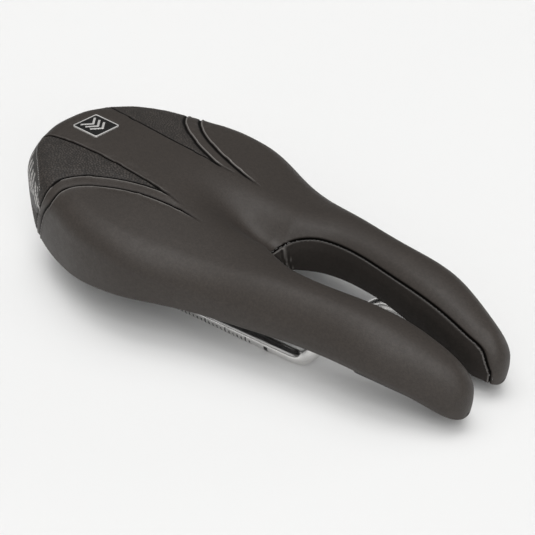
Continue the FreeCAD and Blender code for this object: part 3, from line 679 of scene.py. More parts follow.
def swelling():
    """Millimetres that a short cloth run, held at the pressed lines, blows the skin up."""
    scene = bpy.context.scene
    source = bpy.data.meshes.new("padding_run")
    source.from_pydata((body * MM).tolist(), [],
                       tris.tolist() + quads[quad_row < WALL_END].tolist())
    ob = bpy.data.objects.new("padding_run", source)
    scene.collection.objects.link(ob)
    fewer = ob.modifiers.new("fewer", "DECIMATE")
    fewer.ratio = 0.085
    depsgraph = bpy.context.evaluated_depsgraph_get()
    coarse = bpy.data.meshes.new_from_object(ob.evaluated_get(depsgraph))
    ob.modifiers.clear()
    ob.data = coarse
    at_rest = coordinates(coarse)
    outward = np.array([v.normal for v in coarse.vertices])

    fine_tree = kd_tree(body * MM)
    nearest = [fine_tree.find(Vector(p))[1] for p in at_rest]
    low_rows = {int(vertex_id(row, i))
                for row in range(WALL_END - 2, ROWS) for i in range(RING)}
    held = [i for i, k in enumerate(nearest) if relief.line_gap[k] < 1.5 or k in low_rows]
    ob.vertex_groups.new(name="held").add(held, 1.0, "REPLACE")

    cloth = ob.modifiers.new("cloth", "CLOTH")
    settings = cloth.settings
    settings.quality = 6
    settings.mass = 0.15
    settings.tension_stiffness = settings.compression_stiffness = 25
    settings.shear_stiffness = 12
    settings.bending_stiffness = 2.0
    settings.use_pressure = True
    settings.uniform_pressure_force = 60
    settings.vertex_group_mass = "held"
    settings.effector_weights.gravity = 0
    cloth.point_cache.frame_end = 22
    for number in range(1, 21):
        scene.frame_set(number)
    depsgraph = bpy.context.evaluated_depsgraph_get()
    blown = bpy.data.meshes.new_from_object(ob.evaluated_get(depsgraph))
    rise = ((coordinates(blown) - at_rest) * outward).sum(1) * 1000
    scene.frame_set(1)
    bpy.data.objects.remove(ob)
    for used in (source, coarse, blown):
        bpy.data.meshes.remove(used)

    # carried back to the fine skin as a weighted mean of the nearest samples
    coarse_tree = kd_tree(at_rest)
    out = np.zeros(len(body))
    for i, point in enumerate(body):
        hits = coarse_tree.find_n(Vector(point * MM), 18)
        weights = np.array([math.exp(-(hit[2] * 1000 / 1.6) ** 2) + 1e-6 for hit in hits])
        out[i] = (weights * rise[[hit[1] for hit in hits]]).sum() / weights.sum()
    return out


# the skin dips where it swells least, close to the rear lines and above the lower wall
puff = swelling()
full = max(np.percentile(puff[rear_line_gap > 1.5], 85), 0.02)
dip = 1 - np.clip(puff / full, 0, 1) ** 0.7
row_of = np.concatenate([np.zeros(TOP_COUNT), np.repeat(np.arange(1, ROWS), RING)])
dip *= 1 - np.clip((row_of - SHOULDER_ROWS - 2) / 8, 0, 1)
dip *= np.clip(1 - (rear_line_gap - 5.0) / 7.0, 0, 1)
relief.height -= 0.34 * dip
relief.height = np.maximum(relief.height, -0.82)     # never down to the sheet's inner face
surface = body + body_normals * relief.height[:, None]
surface_normals = vertex_normals(surface)

# ---------------------------------------------------------------- which piece a face is of
COVER, PANEL_LEFT, PANEL_RIGHT, BAND_LEFT, BAND_RIGHT, LINER = range(6)
PANEL_FRONT, BAND_FRONT = 90.0, 111.5


def region(faces):
    edge, inner, outer = (line_side[name][faces].mean(1) for name in PRESSED)
    x, y = body[faces][:, :, 0].mean(1), body[faces][:, :, 1].mean(1)
    out = np.zeros(len(faces), int)
    panel = (edge > 0) & (inner < 0) & (x < PANEL_FRONT)
    out[panel & (y > 0)], out[panel & (y <= 0)] = PANEL_LEFT, PANEL_RIGHT
    band = (inner > 0) & (outer < 0) & (x < BAND_FRONT)
    out[band & (y > 0)], out[band & (y <= 0)] = BAND_LEFT, BAND_RIGHT
    return out


tri_region = region(tris)
quad_region = region(quads)
liner_first = int(np.argmin(np.abs(stations - SEAM_START)))
liner_last = RING - liner_first
LINER_MARGIN = 12                       # stations searched past the liner's ends
quad_region[(quad_station > liner_first - LINER_MARGIN)
            & (quad_station < liner_last + LINER_MARGIN)
            & (seam_side[quads].mean(1) > 0) & (seam_gap[quads].min(1) < 90)
            & (quad_row <= WALL_END) & (quad_row >= SEAM_ROW)] = LINER
folded = quad_row > WALL_END
quad_region[folded] = COVER
quad_region[folded & (quad_station >= liner_first) & (quad_station < liner_last)] = LINER


# ---------------------------------------------------------------- mesh helpers
def build_mesh(name, verts, faces, materials, replaces, slot,
               normals=None, attributes=None, smooth=True, uv=None, after=None):
    me = bpy.data.meshes.new(name)
    me.from_pydata(((np.asarray(verts, float) - ORIGIN) * MM).tolist(), [],
                   [tuple(int(k) for k in face) for face in faces])
    me.polygons.foreach_set("use_smooth", [smooth] * len(me.polygons))
    for key, values in (attributes or {}).items():
        attribute = me.attributes.new(key, "FLOAT", "POINT")
        attribute.data.foreach_set("value", np.asarray(values, np.float32))
    if uv is not None:
        layer = me.uv_layers.new(name="along")
        corner_vertex = np.empty(len(me.loops), int)
        me.loops.foreach_get("vertex_index", corner_vertex)
        layer.data.foreach_set("uv", np.asarray(uv, np.float32)[corner_vertex].ravel())
    me.update()
    if normals is not None:
        me.normals_split_custom_set_from_vertices(normals.tolist())
    ob = bpy.data.objects.new(name, me)
    bpy.context.scene.collection.objects.link(ob)
    for material in materials:
        me.materials.append(material)
    if after:
        after(ob)
    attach(ob, "root")
    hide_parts(replaces)
    return ob


def open_edges(faces):
    edges = dict.fromkeys((f[k], f[(k + 1) % len(f)]) for f in faces for k in range(len(f)))
    return [e for e in edges if (e[1], e[0]) not in edges]


def close_sheet(faces, rim, count):
    """The outer faces, their reversed copy count vertices further on, and the rim between."""
    back = [tuple(v + count for v in reversed(face)) for face in faces]
    return faces + back + [(b, a, a + count, b + count) for a, b in rim]


def renumber(face_arrays, first=0):
    """Body vertices used by the faces, and each one's new number."""
    used = np.unique(np.concatenate([faces.ravel() for faces in face_arrays]))
    new = -np.ones(len(body), int)
    new[used] = first + np.arange(len(used))
    return used, new


def loft(loops, closed=False):
    """Skin over rings of points; open lofts are capped, closed ones join end to start."""
    n, m = len(loops[0]), len(loops)
    verts = [p for loop in loops for p in loop]
    faces = []
    for j in range(m if closed else m - 1):
        for k in range(n):
            here, there, turn = j * n, ((j + 1) % m) * n, (k + 1) % n
            faces.append((here + k, here + turn, there + turn, there + k))
    if not closed:
        faces.append(tuple(reversed(range(n))))
        faces.append(tuple((m - 1) * n + k for k in range(n)))
    return verts, faces


def append_mesh(verts, faces, more_verts, more_faces):
    shift = len(verts)
    verts += more_verts
    faces += [tuple(k + shift for k in face) for face in more_faces]


def skin(name, piece, thickness, **details):
    """A sheet with its own thickness: outer face, inner face and the rim between."""
    parts = [tris[tri_region == piece], quads[quad_region == piece]]
    used, new = renumber(parts)
    n = len(used)
    faces = [face for part in parts for face in new[part].tolist()]
    inner = body[used] - body_normals[used] * thickness
    blank = np.zeros(n)
    attributes = {
        "groove": np.concatenate([relief.groove[used], blank]),
        "lip": np.concatenate([relief.lip[used], blank]),
        "seam": np.concatenate([np.clip(seam_gap[used], 0, 20), np.full(n, 20.0)]),
        "outer": np.concatenate([np.ones(n), blank])}
    build_mesh(name, np.vstack([surface[used], inner]), close_sheet(faces, open_edges(faces), n),
               normals=np.vstack([surface_normals[used], -body_normals[used]]),
               attributes=attributes, **details)


# ---------------------------------------------------------------- moulded grain
GRAIN_EDGE = 0.00050                    # metres; longer edges are cut
GRAIN_CELL, GRAIN_GAP_SQUARED = 1.2, 1.35
GRAIN_VALLEY, GRAIN_HEIGHT = 0.70, 0.30


def add_grain(ob):
    """Cut the outer face finer and let every small cell stand up between its neighbours."""
    me = ob.data
    bm = bmesh.new()
    bm.from_mesh(me)
    outer_layer = bm.verts.layers.float["outer"]

    def is_outer(face):
        return all(v[outer_layer] > 0.99 for v in face.verts)

    for _ in range(3):
        long_edges = [e for e in bm.edges
                      if e.calc_length() > GRAIN_EDGE and len(e.link_faces) == 2
                      and all(is_outer(f) for f in e.link_faces)]
        bmesh.ops.subdivide_edges(bm, edges=long_edges, cuts=1, use_grid_fill=True)
        bmesh.ops.triangulate(bm, faces=[f for f in bm.faces if len(f.verts) > 4])
    for e in bm.edges:
        pair = e.link_faces
        e.smooth = not (len(pair) == 2 and is_outer(pair[0]) != is_outer(pair[1]))
    bm.normal_update()
    bm.verts.ensure_lookup_table()
    points = np.array([v.co[:] for v in bm.verts]) * 1000
    normals = np.array([v.normal[:] for v in bm.verts])
    outer = np.nonzero(np.array([v[outer_layer] for v in bm.verts]) > 0.99)[0]
    groove_layer = bm.verts.layers.float["groove"]
    groove = np.array([v[groove_layer] for v in bm.verts])

    random = np.random.default_rng(11)
    seeds = SpacedPoints(cell=GRAIN_CELL)
    for k in random.permutation(outer):
        if seeds.is_clear(*points[k], gap_squared=GRAIN_GAP_SQUARED):
            seeds.add(*points[k])
    seed_tree = kd_tree(seeds.points)
    tone = random.uniform(0.35, 1.0, len(seeds.points))
    pebble_layer = bm.verts.layers.float.new("pebble")
    for v in bm.verts:
        v[pebble_layer] = 1.0
    for k in outer:
        (_, own, first), (_, _, second) = seed_tree.find_n(Vector(points[k]), 2)
        height = smoothstep(min(1.0, (second - first) / GRAIN_VALLEY), 0, 1)
        v = bm.verts[int(k)]
        v[pebble_layer] = height * tone[own]
        lift = (GRAIN_HEIGHT * (height * (0.55 + 0.45 * tone[own]) - 0.55)
                * max(0.0, 1 - 2.0 * groove[k]))
        v.co = Vector((points[k] + normals[k] * lift) * MM)
    bm.to_mesh(me)
    bm.free()
    if "custom_normal" in me.attributes:
        me.attributes.remove(me.attributes["custom_normal"])
    me.update()


# ---------------------------------------------------------------- shader helpers
class Shader:
    """A material with one principled surface, and short ways to add nodes to it."""

    def __init__(self, name):
        self.material = bpy.data.materials.new(name)
        self.material.use_nodes = True
        self.tree = self.material.node_tree
        self.tree.nodes.clear()
        output = self.node("ShaderNodeOutputMaterial")
        self.surface = self.node("ShaderNodeBsdfPrincipled")
        self.link(self.surface.outputs[0], output.inputs[0])

    def node(self, kind, **settings):
        node = self.tree.nodes.new(kind)
        for key, value in settings.items():
            setattr(node, key, value)
        return node

    def link(self, source, target):
        self.tree.links.new(source, target)

    def feed(self, target, source):
        """Link a socket into, or set a number on, a node input."""
        if isinstance(source, (int, float)):
            target.default_value = source
        else:
            self.link(source, target)

    def drive(self, **sockets):
        """Links or values for inputs of the surface; underscores stand for spaces."""
        for key, source in sockets.items():
            self.feed(self.surface.inputs[key.replace("_", " ")], source)

    def place(self):
        return self.node("ShaderNodeTexCoord").outputs["Object"]

    def axes(self, vector):
        split = self.node("ShaderNodeSeparateXYZ")
        self.link(vector, split.inputs[0])
        return split.outputs

    def noise(self, scale, detail=2.0, rough=0.5, vector=None):
        node = self.node("ShaderNodeTexNoise")
        node.inputs["Scale"].default_value = scale
        node.inputs["Detail"].default_value = detail
        node.inputs["Roughness"].default_value = rough
        self.link(vector or self.place(), node.inputs["Vector"])
        return node.outputs["Fac"]

    def voronoi(self, scale, feature):
        node = self.node("ShaderNodeTexVoronoi", feature=feature)
        node.inputs["Scale"].default_value = scale
        self.link(self.place(), node.inputs["Vector"])
        return node.outputs["Distance"]

    def wave(self, direction, scale, distortion=0.0):
        node = self.node("ShaderNodeTexWave", bands_direction=direction)
        node.inputs["Scale"].default_value = scale
        node.inputs["Distortion"].default_value = distortion
        self.link(self.place(), node.inputs["Vector"])
        return node.outputs["Fac"]

    def math(self, operation, *values):
        node = self.node("ShaderNodeMath", operation=operation)
        for target, value in zip(node.inputs, values):
            self.feed(target, value)
        return node.outputs[0]

    def add(self, a, b):
        return self.math("ADD", a, b)

    def subtract(self, a, b):
        return self.math("SUBTRACT", a, b)

    def times(self, first, *others):
        for other in others:
            first = self.math("MULTIPLY", first, other)
        return first

    def below(self, a, b):
        return self.math("LESS_THAN", a, b)

    def above(self, a, b):
        return self.math("GREATER_THAN", a, b)

    def size(self, a):
        return self.math("ABSOLUTE", a)

    def repeat(self, a, pitch):
        return self.math("FRACT", self.math("DIVIDE", a, pitch))

    def remap(self, value, source, to):
        node = self.node("ShaderNodeMapRange")
        for target, item in zip(node.inputs, (value, *source, *to)):
            self.feed(target, item)
        return node.outputs[0]

    def mix(self, factor, a, b):
        node = self.node("ShaderNodeMix", data_type="RGBA")
        self.link(factor, node.inputs[0])
        for k, colour in ((6, a), (7, b)):
            if isinstance(colour, tuple):
                node.inputs[k].default_value = (*colour, 1)
            else:
                self.link(colour, node.inputs[k])
        return node.outputs[2]

    def attribute(self, name):
        return self.node("ShaderNodeAttribute", attribute_name=name).outputs["Fac"]

    def bump(self, height, distance, strength=1.0, normal=None):
        node = self.node("ShaderNodeBump")
        node.inputs["Distance"].default_value = distance
        node.inputs["Strength"].default_value = strength
        self.link(height, node.inputs["Height"])
        if normal is not None:
            self.link(normal, node.inputs["Normal"])
        return node.outputs[0]


# ---------------------------------------------------------------- materials
MIDDLE = (0.3, 0.7)                     # range in which a noise mostly lies
UNIT = (0.0, 1.0)
# painted shade for the bottoms of the pressed grooves
GROOVE_SHADE_COLOUR = (0.0012, 0.0011, 0.001)
# painted shade for the valleys between the moulded pebbles
PEBBLE_VALLEY_SHADE = (0.006, 0.0055, 0.005)
# painted highlight for the lips beside the pressed grooves
LIP_HIGHLIGHT_COLOUR = (0.19, 0.178, 0.167)


def skin_material(name, base, rough, grain_height, grain_size, specular,
                  sheen=0.0, weave_height=0.0, pebbled=False):
    """Soft sheet, with painted shade dark in the grooves and a painted highlight on the lips
    beside them.
    """
    s = Shader(name)

    def shade(gain):
        return tuple(c * gain for c in base)

    patches = s.noise(scale=26, detail=3)
    mottle = s.noise(scale=240, detail=4, rough=0.6)
    colour = s.mix(s.remap(patches, MIDDLE, to=UNIT), shade(0.90), shade(1.10))
    colour = s.mix(s.remap(mottle, (0.35, 0.65), to=(0.0, 0.5)), colour, shade(0.86))
    fine = s.noise(scale=1.0 / grain_size, detail=5, rough=0.62)
    cells = s.voronoi(scale=0.55 / grain_size, feature="F1")
    height = s.add(s.times(fine, 0.65), s.times(cells, 0.5))
    speck = s.noise(scale=820, detail=3, rough=0.7)
    colour = s.mix(s.remap(speck, (0.38, 0.62), to=(0.0, 0.62)), colour, shade(0.62))
    normal = s.bump(s.add(height, s.times(speck, 1.4)), grain_height)
    if pebbled:
        # painted shade in the low valleys between pebbles, mixed toward near black, plus each
        # pebble's random tone
        pebble_valley_shade = s.remap(s.attribute("pebble"), (0.0, 0.8), to=(0.93, 0.0))
        colour = s.mix(pebble_valley_shade, colour, PEBBLE_VALLEY_SHADE)
    if weave_height:
        threads = s.math("MAXIMUM", s.wave("X", scale=900), s.wave("Z", scale=900))
        normal = s.bump(threads, weave_height, strength=0.8, normal=normal)
    # painted shade: the grooves are mixed toward near black and lose their specular, as if in
    # shadow
    groove = s.attribute("groove")
    shadow = s.remap(groove, (0.06, 0.62), to=(0.0, 0.96))
    colour = s.mix(shadow, colour, GROOVE_SHADE_COLOUR)
    # painted highlight: the lips beside the grooves are mixed toward light grey, as if catching
    # the light, varied by the mottle
    lip = s.attribute("lip")
    lip_highlight = s.times(s.remap(lip, (0.22, 0.92), to=UNIT), s.remap(mottle, MIDDLE, to=(0.75, 1.0)))
    roughness = s.add(s.remap(mottle, MIDDLE, to=(rough - 0.035, rough + 0.035)),
                      s.times(s.remap(fine, MIDDLE, to=(-1, 1)), 0.03))
    roughness = s.add(roughness, s.times(groove, 0.25))
    roughness = s.subtract(roughness, s.times(lip, 0.14))
    s.drive(Base_Color=s.mix(lip_highlight, colour, LIP_HIGHLIGHT_COLOUR), Roughness=roughness, Normal=normal,
            Specular_IOR_Level=s.times(s.subtract(1.0, shadow), specular))
    if sheen:
        s.drive(Sheen_Weight=sheen, Sheen_Roughness=0.55)
        s.surface.inputs["Sheen Tint"].default_value = (0.95, 0.93, 0.9, 1)
    return s.material


def plain_material(name, base, rough, metal=0.0, specular=0.5, grain_height=0.00002,
                   grain_scale=900.0):
    s = Shader(name)
    vary = 0.12
    patches = s.noise(scale=60, detail=3)
    colour = s.mix(s.remap(patches, MIDDLE, to=UNIT), tuple(c * (1 - vary) for c in base),
                   tuple(min(1, c * (1 + vary)) for c in base))
    fine = s.noise(scale=grain_scale, detail=4, rough=0.6)
    roughness = s.add(s.remap(fine, MIDDLE, to=(rough - 0.05, rough + 0.05)),
                      s.remap(patches, MIDDLE, to=(-0.02, 0.02)))
    s.drive(Base_Color=colour, Roughness=roughness, Normal=s.bump(fine, grain_height),
            Metallic=metal, Specular_IOR_Level=specular)
    return s.material


def thread_material():
    s = Shader("thread")
    twist = s.wave("DIAGONAL", scale=1500, distortion=1.5)
    # painted highlight and shade: the thread is lighter on the ridges of its twist and darker
    # between them, following the wave of its bump
    s.drive(Base_Color=s.mix(twist, (0.022, 0.020, 0.018), (0.085, 0.08, 0.074)),
            Normal=s.bump(twist, 0.00006), Roughness=0.5, Sheen_Weight=0.25)
    return s.material


def rail_material():
    """Drawn wire with a scale printed on the outboard side; lengths in metres."""
    tick_pitch = 0.0025
    s = Shader("rail_steel")
    x, y, z = s.axes(s.place())
    # fine lines along the length, faint scuffs
    stretch = s.node("ShaderNodeVectorMath", operation="MULTIPLY")
    stretch.inputs[1].default_value = (0.04, 1, 1)
    s.link(s.place(), stretch.inputs[0])
    lines = s.noise(scale=5200, detail=3, rough=0.6, vector=stretch.outputs[0])
    scuff = s.noise(scale=170, detail=4, rough=0.7)
    steel = s.mix(s.remap(scuff, (0.35, 0.7), to=UNIT), (0.80, 0.79, 0.775), (0.70, 0.695, 0.685))
    # short ticks, with every fifth one taller
    outboard = s.above(s.size(y), 0.0236)
    from_middle = s.size(s.add(z, 0.0011))
    tick = s.below(s.repeat(s.add(x, 0.1), tick_pitch), 0.26)
    fifth = s.below(s.repeat(s.add(x, 0.1), 5 * tick_pitch), 0.055)
    zone = s.times(s.above(x, -0.034), s.below(x, 0.030))
    short = s.times(tick, s.below(from_middle, 0.0010))
    tall = s.times(fifth, s.below(from_middle, 0.0019))
    marks = s.times(s.math("MAXIMUM", short, tall), outboard, zone)
    # one broad mark ahead of the scale
    stop = s.below(s.size(s.subtract(x, 0.0375)), 0.0011)
    marks = s.math("MAXIMUM", marks, s.times(stop, outboard, s.below(z, 0.0004)))
    roughness = s.add(s.remap(lines, MIDDLE, to=(0.13, 0.22)),
                      s.remap(scuff, (0.4, 0.7), to=(0.0, 0.06)))
    s.drive(Base_Color=s.mix(marks, steel, (0.012, 0.012, 0.012)),
            Metallic=s.subtract(1.0, s.times(marks, 0.95)),
            Roughness=s.add(roughness, s.times(marks, 0.3)),
            Normal=s.bump(lines, 0.000006))
    return s.material


def strip_material():
    """Woven reflective tape: dark ground with slanted bright dashes of uneven width."""
    dash_pitch, slant = 4.6, 0.62
    s = Shader("reflective")
    uv = s.node("ShaderNodeUVMap", uv_map="along")
    # millimetres round the rear edge, millimetres down
    across, down, _ = s.axes(uv.outputs[0])
    off = s.size(across)
    wobble = s.times(s.subtract(s.noise(scale=220, detail=3), 0.5), 0.25)
    slanted = s.add(s.subtract(off, s.times(down, slant)), wobble)
    cell = s.math("DIVIDE", s.add(slanted, 20.0), dash_pitch)
    white = s.node("ShaderNodeTexWhiteNoise", noise_dimensions="1D")
    s.link(s.math("FLOOR", cell), white.inputs["W"])
    phase = s.math("FRACT", cell)
    random = white.outputs["Value"]
    width = s.remap(random, UNIT, to=(0.34, 0.66))
    fall = s.remap(s.subtract(phase, width), (-0.07, 0.0), to=UNIT)
    dash = s.times(s.remap(phase, (0.0, 0.07), to=UNIT), s.subtract(1.0, fall))
    under_top = s.above(down, s.remap(random, UNIT, to=(1.8, 3.4)))
    over_bottom = s.below(down, s.remap(random, UNIT, to=(15.5, 12.0)))
    marks = s.times(dash, under_top, over_bottom, s.above(off, 3.0))
    worn = s.remap(s.noise(scale=900, detail=4, rough=0.7), (0.38, 0.6), to=(0.35, 1.0))
    marks = s.times(marks, worn)
    # dotted line along the top edge
    edge = s.below(s.size(s.subtract(down, 0.55)), 0.2)
    dots = s.below(s.repeat(across, 1.3), 0.5)
    marks = s.math("MAXIMUM", marks, s.times(edge, dots, 0.8))
    cells = s.remap(s.voronoi(scale=2600, feature="DISTANCE_TO_EDGE"), (0.0, 0.12), to=UNIT)
    s.drive(Base_Color=s.mix(marks, (0.030, 0.028, 0.026), (0.62, 0.60, 0.58)),
            Metallic=s.times(marks, 0.9),
            Roughness=s.remap(marks, UNIT, to=(0.5, 0.33)),
            Normal=s.bump(s.add(s.times(cells, 0.3), marks), 0.00007))
    return s.material


cover_skin = skin_material(
    "cover_skin", base=(0.0355, 0.0290, 0.0244), rough=0.55,
    grain_height=0.00005, grain_size=0.00038, specular=0.36, sheen=0.015)
grained_skin = skin_material(
    "grained_skin", base=(0.0450, 0.0372, 0.0318), rough=0.52,
    grain_height=0.00003, grain_size=0.00030, specular=0.34, sheen=0.04, pebbled=True)
band_skin = skin_material(
    "band_skin", base=(0.0375, 0.0308, 0.0262), rough=0.52,
    grain_height=0.00004, grain_size=0.0003, specular=0.36, sheen=0.03)
liner_skin = skin_material(
    "liner_skin", base=(0.0175, 0.0140, 0.0116), rough=0.72,
    grain_height=0.00004, grain_size=0.0003, specular=0.25, weave_height=0.00004)
shell_nylon = plain_material("shell_nylon", base=(0.018, 0.018, 0.019), rough=0.46,
                             grain_height=0.00006, grain_scale=1400)
socket_nylon = plain_material("socket_nylon", base=(0.016, 0.016, 0.0165), rough=0.42,
                              grain_height=0.00005, grain_scale=1100)
screw_steel = plain_material("screw_steel", base=(0.42, 0.42, 0.43), rough=0.3, metal=1.0,
                             grain_height=0.00001)
staple_steel = plain_material("staple_steel", base=(0.55, 0.55, 0.56), rough=0.34, metal=1.0,
                              grain_height=0.00001)
badge_metal = plain_material("badge_metal", base=(0.66, 0.65, 0.63), rough=0.34, metal=0.4,
                             grain_height=0.000008)
badge_print = plain_material("badge_print", base=(0.009, 0.009, 0.009), rough=0.28,
                             grain_height=0.000006)
foam = plain_material("foam", base=(0.05, 0.05, 0.052), rough=0.9, specular=0.2,
                      grain_height=0.0002, grain_scale=1500)
thread = thread_material()
rail_steel = rail_material()
reflective = strip_material()

# ---------------------------------------------------------------- skins
# name, CAD piece, region, thickness, material, slot, finishing step
SKINS = [
    ("cover_top", "top_cover", COVER, 1.1, cover_skin, "cover_skin", None),
    ("grained_panel_left_skin", "grained_panel_left", PANEL_LEFT, 0.95,
     grained_skin, "grained_skin", add_grain),
    ("grained_panel_right_skin", "grained_panel_right", PANEL_RIGHT, 0.95,
     grained_skin, "grained_skin", add_grain),
    ("sweep_band_left_skin", "sweep_band_left", BAND_LEFT, 0.9, band_skin, "band_skin", None),
    ("sweep_band_right_skin", "sweep_band_right", BAND_RIGHT, 0.9, band_skin, "band_skin", None),
    ("slot_liner_skin", "slot_liner", LINER, 1.0, liner_skin, "liner_skin", None)]
for name, replaces, piece, thickness, material, slot, after in SKINS:
    skin(name, piece, thickness, materials=[material], replaces=replaces, slot=slot, after=after)


# ---------------------------------------------------------------- foam
def build_foam():
    """Foam under the skin, from its top and walls to a face well above the lower edge."""
    inset = 1.75
    last = WALL_END - 4
    outer = body - body_normals * inset
    walls = quads[quad_row < last]
    used, new = renumber([tris, walls])
    under, new_under = renumber([tris], first=len(used))
    low = outer[under].copy()
    floor_z = skirt_z(body[under, 0]) + 16.5
    low[:, 2] = np.minimum(np.minimum(floor_z, low[:, 2] - 4.0), 60)
    faces = new[tris].tolist() + new[walls].tolist()
    faces += [tuple(reversed(t)) for t in new_under[tris].tolist()]
    for i in range(RING):
        a, b = vertex_id(last, i), vertex_id(last, i + 1)
        c, d = vertex_id(0, i), vertex_id(0, i + 1)
        faces.append((new[b], new_under[d], new_under[c], new[a]))
    build_mesh("foam_core", np.vstack([outer[used], low]), faces, materials=[foam],
               replaces="foam_pad", slot="foam")


build_foam()

# ---------------------------------------------------------------- stitches of the slot seam
STITCH_PITCH, STITCH_LENGTH, STITCH_RADIUS = 2.1, 1.62, 0.20
STITCH_OFFSET = 1.12                    # below the seam
STITCH_SIDES, STITCH_POINTS = 7, 9
surface_tree = BVHTree.FromPolygons(surface.tolist(), tris.tolist() + quads.tolist())


def on_surface(point):
    location, normal, _, _ = surface_tree.find_nearest(Vector(point))
    return np.array(location), np.array(normal)


def stitch(path):
    """A round thread along the path, tapered at both ends."""
    path = np.array(path)
    rings = []
    for j, direction in enumerate(tangents(path)):
        a = np.cross(direction, np.array([0.3, 0.2, 1.0]))
        a /= np.linalg.norm(a)
        b = np.cross(direction, a)
        u = j / (len(path) - 1)
        radius = STITCH_RADIUS * (math.sqrt(max(0.0, 1 - (2 * u - 1) ** 6)) + 0.12)
        angles = [2 * math.pi * q / STITCH_SIDES for q in range(STITCH_SIDES)]
        rings.append([tuple(path[j] + (a * math.cos(w) + b * math.sin(w)) * radius)
                      for w in angles])
    return loft(rings)


def build_stitches():
    step = 0.25
    lowest = on_border(SEAM_START, WALL_END)[2] + 1.4
    path = smooth_path(seam[seam[:, 2] > lowest][::4], step)
    directions = tangents(path)
    verts, faces = [], []
    start = 1.0
    while start + STITCH_LENGTH < len(path) * step - 0.5:
        points = []
        for j in range(STITCH_POINTS):
            u = j / (STITCH_POINTS - 1)
            k = int((start + u * STITCH_LENGTH) / step)
            down = np.cross(directions[k], on_surface(path[k])[1])
            if down[2] > 0:
                down = -down
            location, normal = on_surface(path[k] + down * STITCH_OFFSET)
            points.append(location + normal * (-0.05 + 0.20 * math.sin(math.pi * u)))
        append_mesh(verts, faces, *stitch(points))
        start += STITCH_PITCH
    build_mesh("slot_seam_stitches", verts, faces, materials=[thread],
               replaces="slot_seam_thread", slot="thread")


build_stitches()

# ---------------------------------------------------------------- badge
BADGE_Z = crown_point(BADGE_X, BADGE_HALF) - 1.28
# rounded squares: half width, corner radius, z over the badge's base
RIM_LOOPS = [
    (8.36, 1.15, 0.05), (BADGE_HALF, 1.2, 0.2), (BADGE_HALF, 1.2, 1.22), (8.36, 1.16, 1.34),
    (8.26, 1.08, 1.40), (8.0, 0.86, 1.42), (7.86, 0.74, 1.38), (7.80, 0.68, 1.28),
    (7.80, 0.68, 0.05)]
PLATE_LOOPS = [
    (7.70, 0.6, 0.1), (7.74, 0.62, 0.3), (7.74, 0.62, 1.16), (7.66, 0.56, 1.24),
    (7.2, 0.4, 1.27), (4.5, 0.3, 1.30), (1.5, 0.2, 1.31)]
CHEVRON_X, CHEVRON_PITCH, CHEVRON_WIDTH = -4.3, 3.3, 1.15
CHEVRON_BOTTOM, CHEVRON_TOP = 1.15, 1.42


def rounded_square(half, radius, z, steps=6):
    out = []
    c = half - radius
    for x, y, start in ((c, c, 0), (-c, c, 90), (-c, -c, 180), (c, -c, 270)):
        for k in range(steps + 1):
            a = math.radians(start + 90 * k / steps)
            out.append((x + radius * math.cos(a), y + radius * math.sin(a), z))
    return out


def on_badge(points):
    p = np.array(points, float)
    cosine, sine = math.cos(badge_tilt), math.sin(badge_tilt)
    x = p[:, 0] * cosine - p[:, 2] * sine
    z = p[:, 0] * sine + p[:, 2] * cosine
    return np.column_stack([x + BADGE_X, p[:, 1], z + BADGE_Z])


def ribbon(path, width, bottom, top):
    """Flat ribbon with bevelled edges and mitred corners along an open path."""
    path = np.array(path, float)
    direction = tangents(path)
    across = np.stack([-direction[:, 1], direction[:, 0]], 1)
    legs = unit(np.diff(path, axis=0))
    leg_across = np.stack([-legs[:, 1], legs[:, 0]], 1)
    for k in range(1, len(path) - 1):
        mitre = leg_across[k - 1] + leg_across[k]
        mitre /= np.linalg.norm(mitre)
        across[k] = mitre / (mitre @ leg_across[k - 1])
    edge = width / 2
    bevel_in, bevel_down = 0.06, 0.03
    profile = ((-edge, bottom), (-edge, top - bevel_down), (-edge + bevel_in, top),
               (edge - bevel_in, top), (edge, top - bevel_down), (edge, bottom))
    rings = [[(*(p + n * offset), z) for offset, z in profile] for p, n in zip(path, across)]
    verts, faces = loft(rings)
    return verts, [face[:1] + face[:0:-1] for face in faces]


def build_badge():
    verts, faces = loft([rounded_square(*loop) for loop in RIM_LOOPS], closed=True)
    build_mesh("badge_rim", on_badge(verts), faces, materials=[badge_metal],
               replaces="badge_frame", slot="badge_metal")
    verts, faces = loft([rounded_square(*loop) for loop in PLATE_LOOPS])
    plate_faces = len(faces)
    for k in range(3):
        x = CHEVRON_X + CHEVRON_PITCH * k
        path = [(x - 1.6, -5.0), (x + 2.3, 0.0), (x - 1.6, 5.0)]
        append_mesh(verts, faces,
                    *ribbon(path, CHEVRON_WIDTH, bottom=CHEVRON_BOTTOM, top=CHEVRON_TOP))
    plate = build_mesh("badge_plate", on_badge(verts), faces, smooth=False,
                       materials=[badge_print, badge_metal],
                       replaces="badge_inlay", slot="badge_print")
    for i, polygon in enumerate(plate.data.polygons):
        polygon.material_index = 1 if i >= plate_faces else 0


build_badge()

# ---------------------------------------------------------------- strip round the rear
STRIP_HALF = 68.0                       # arc length to each side of the rear centre
STRIP_BOTTOM = 39.5
STRIP_LIFT, STRIP_THICKNESS = 0.10, 0.35
STRIP_ROWS = 30
# top edge: arc position, and how far in from the outline it lies there
STRIP_TOP_AT = [0, 26, 30.4, 38.5, 49, 57, 63, STRIP_HALF]
STRIP_TOP_INSET = [4.3, 4.3, 4.8, 5.8, 5.7, 4.5, 2.9, 1.2]


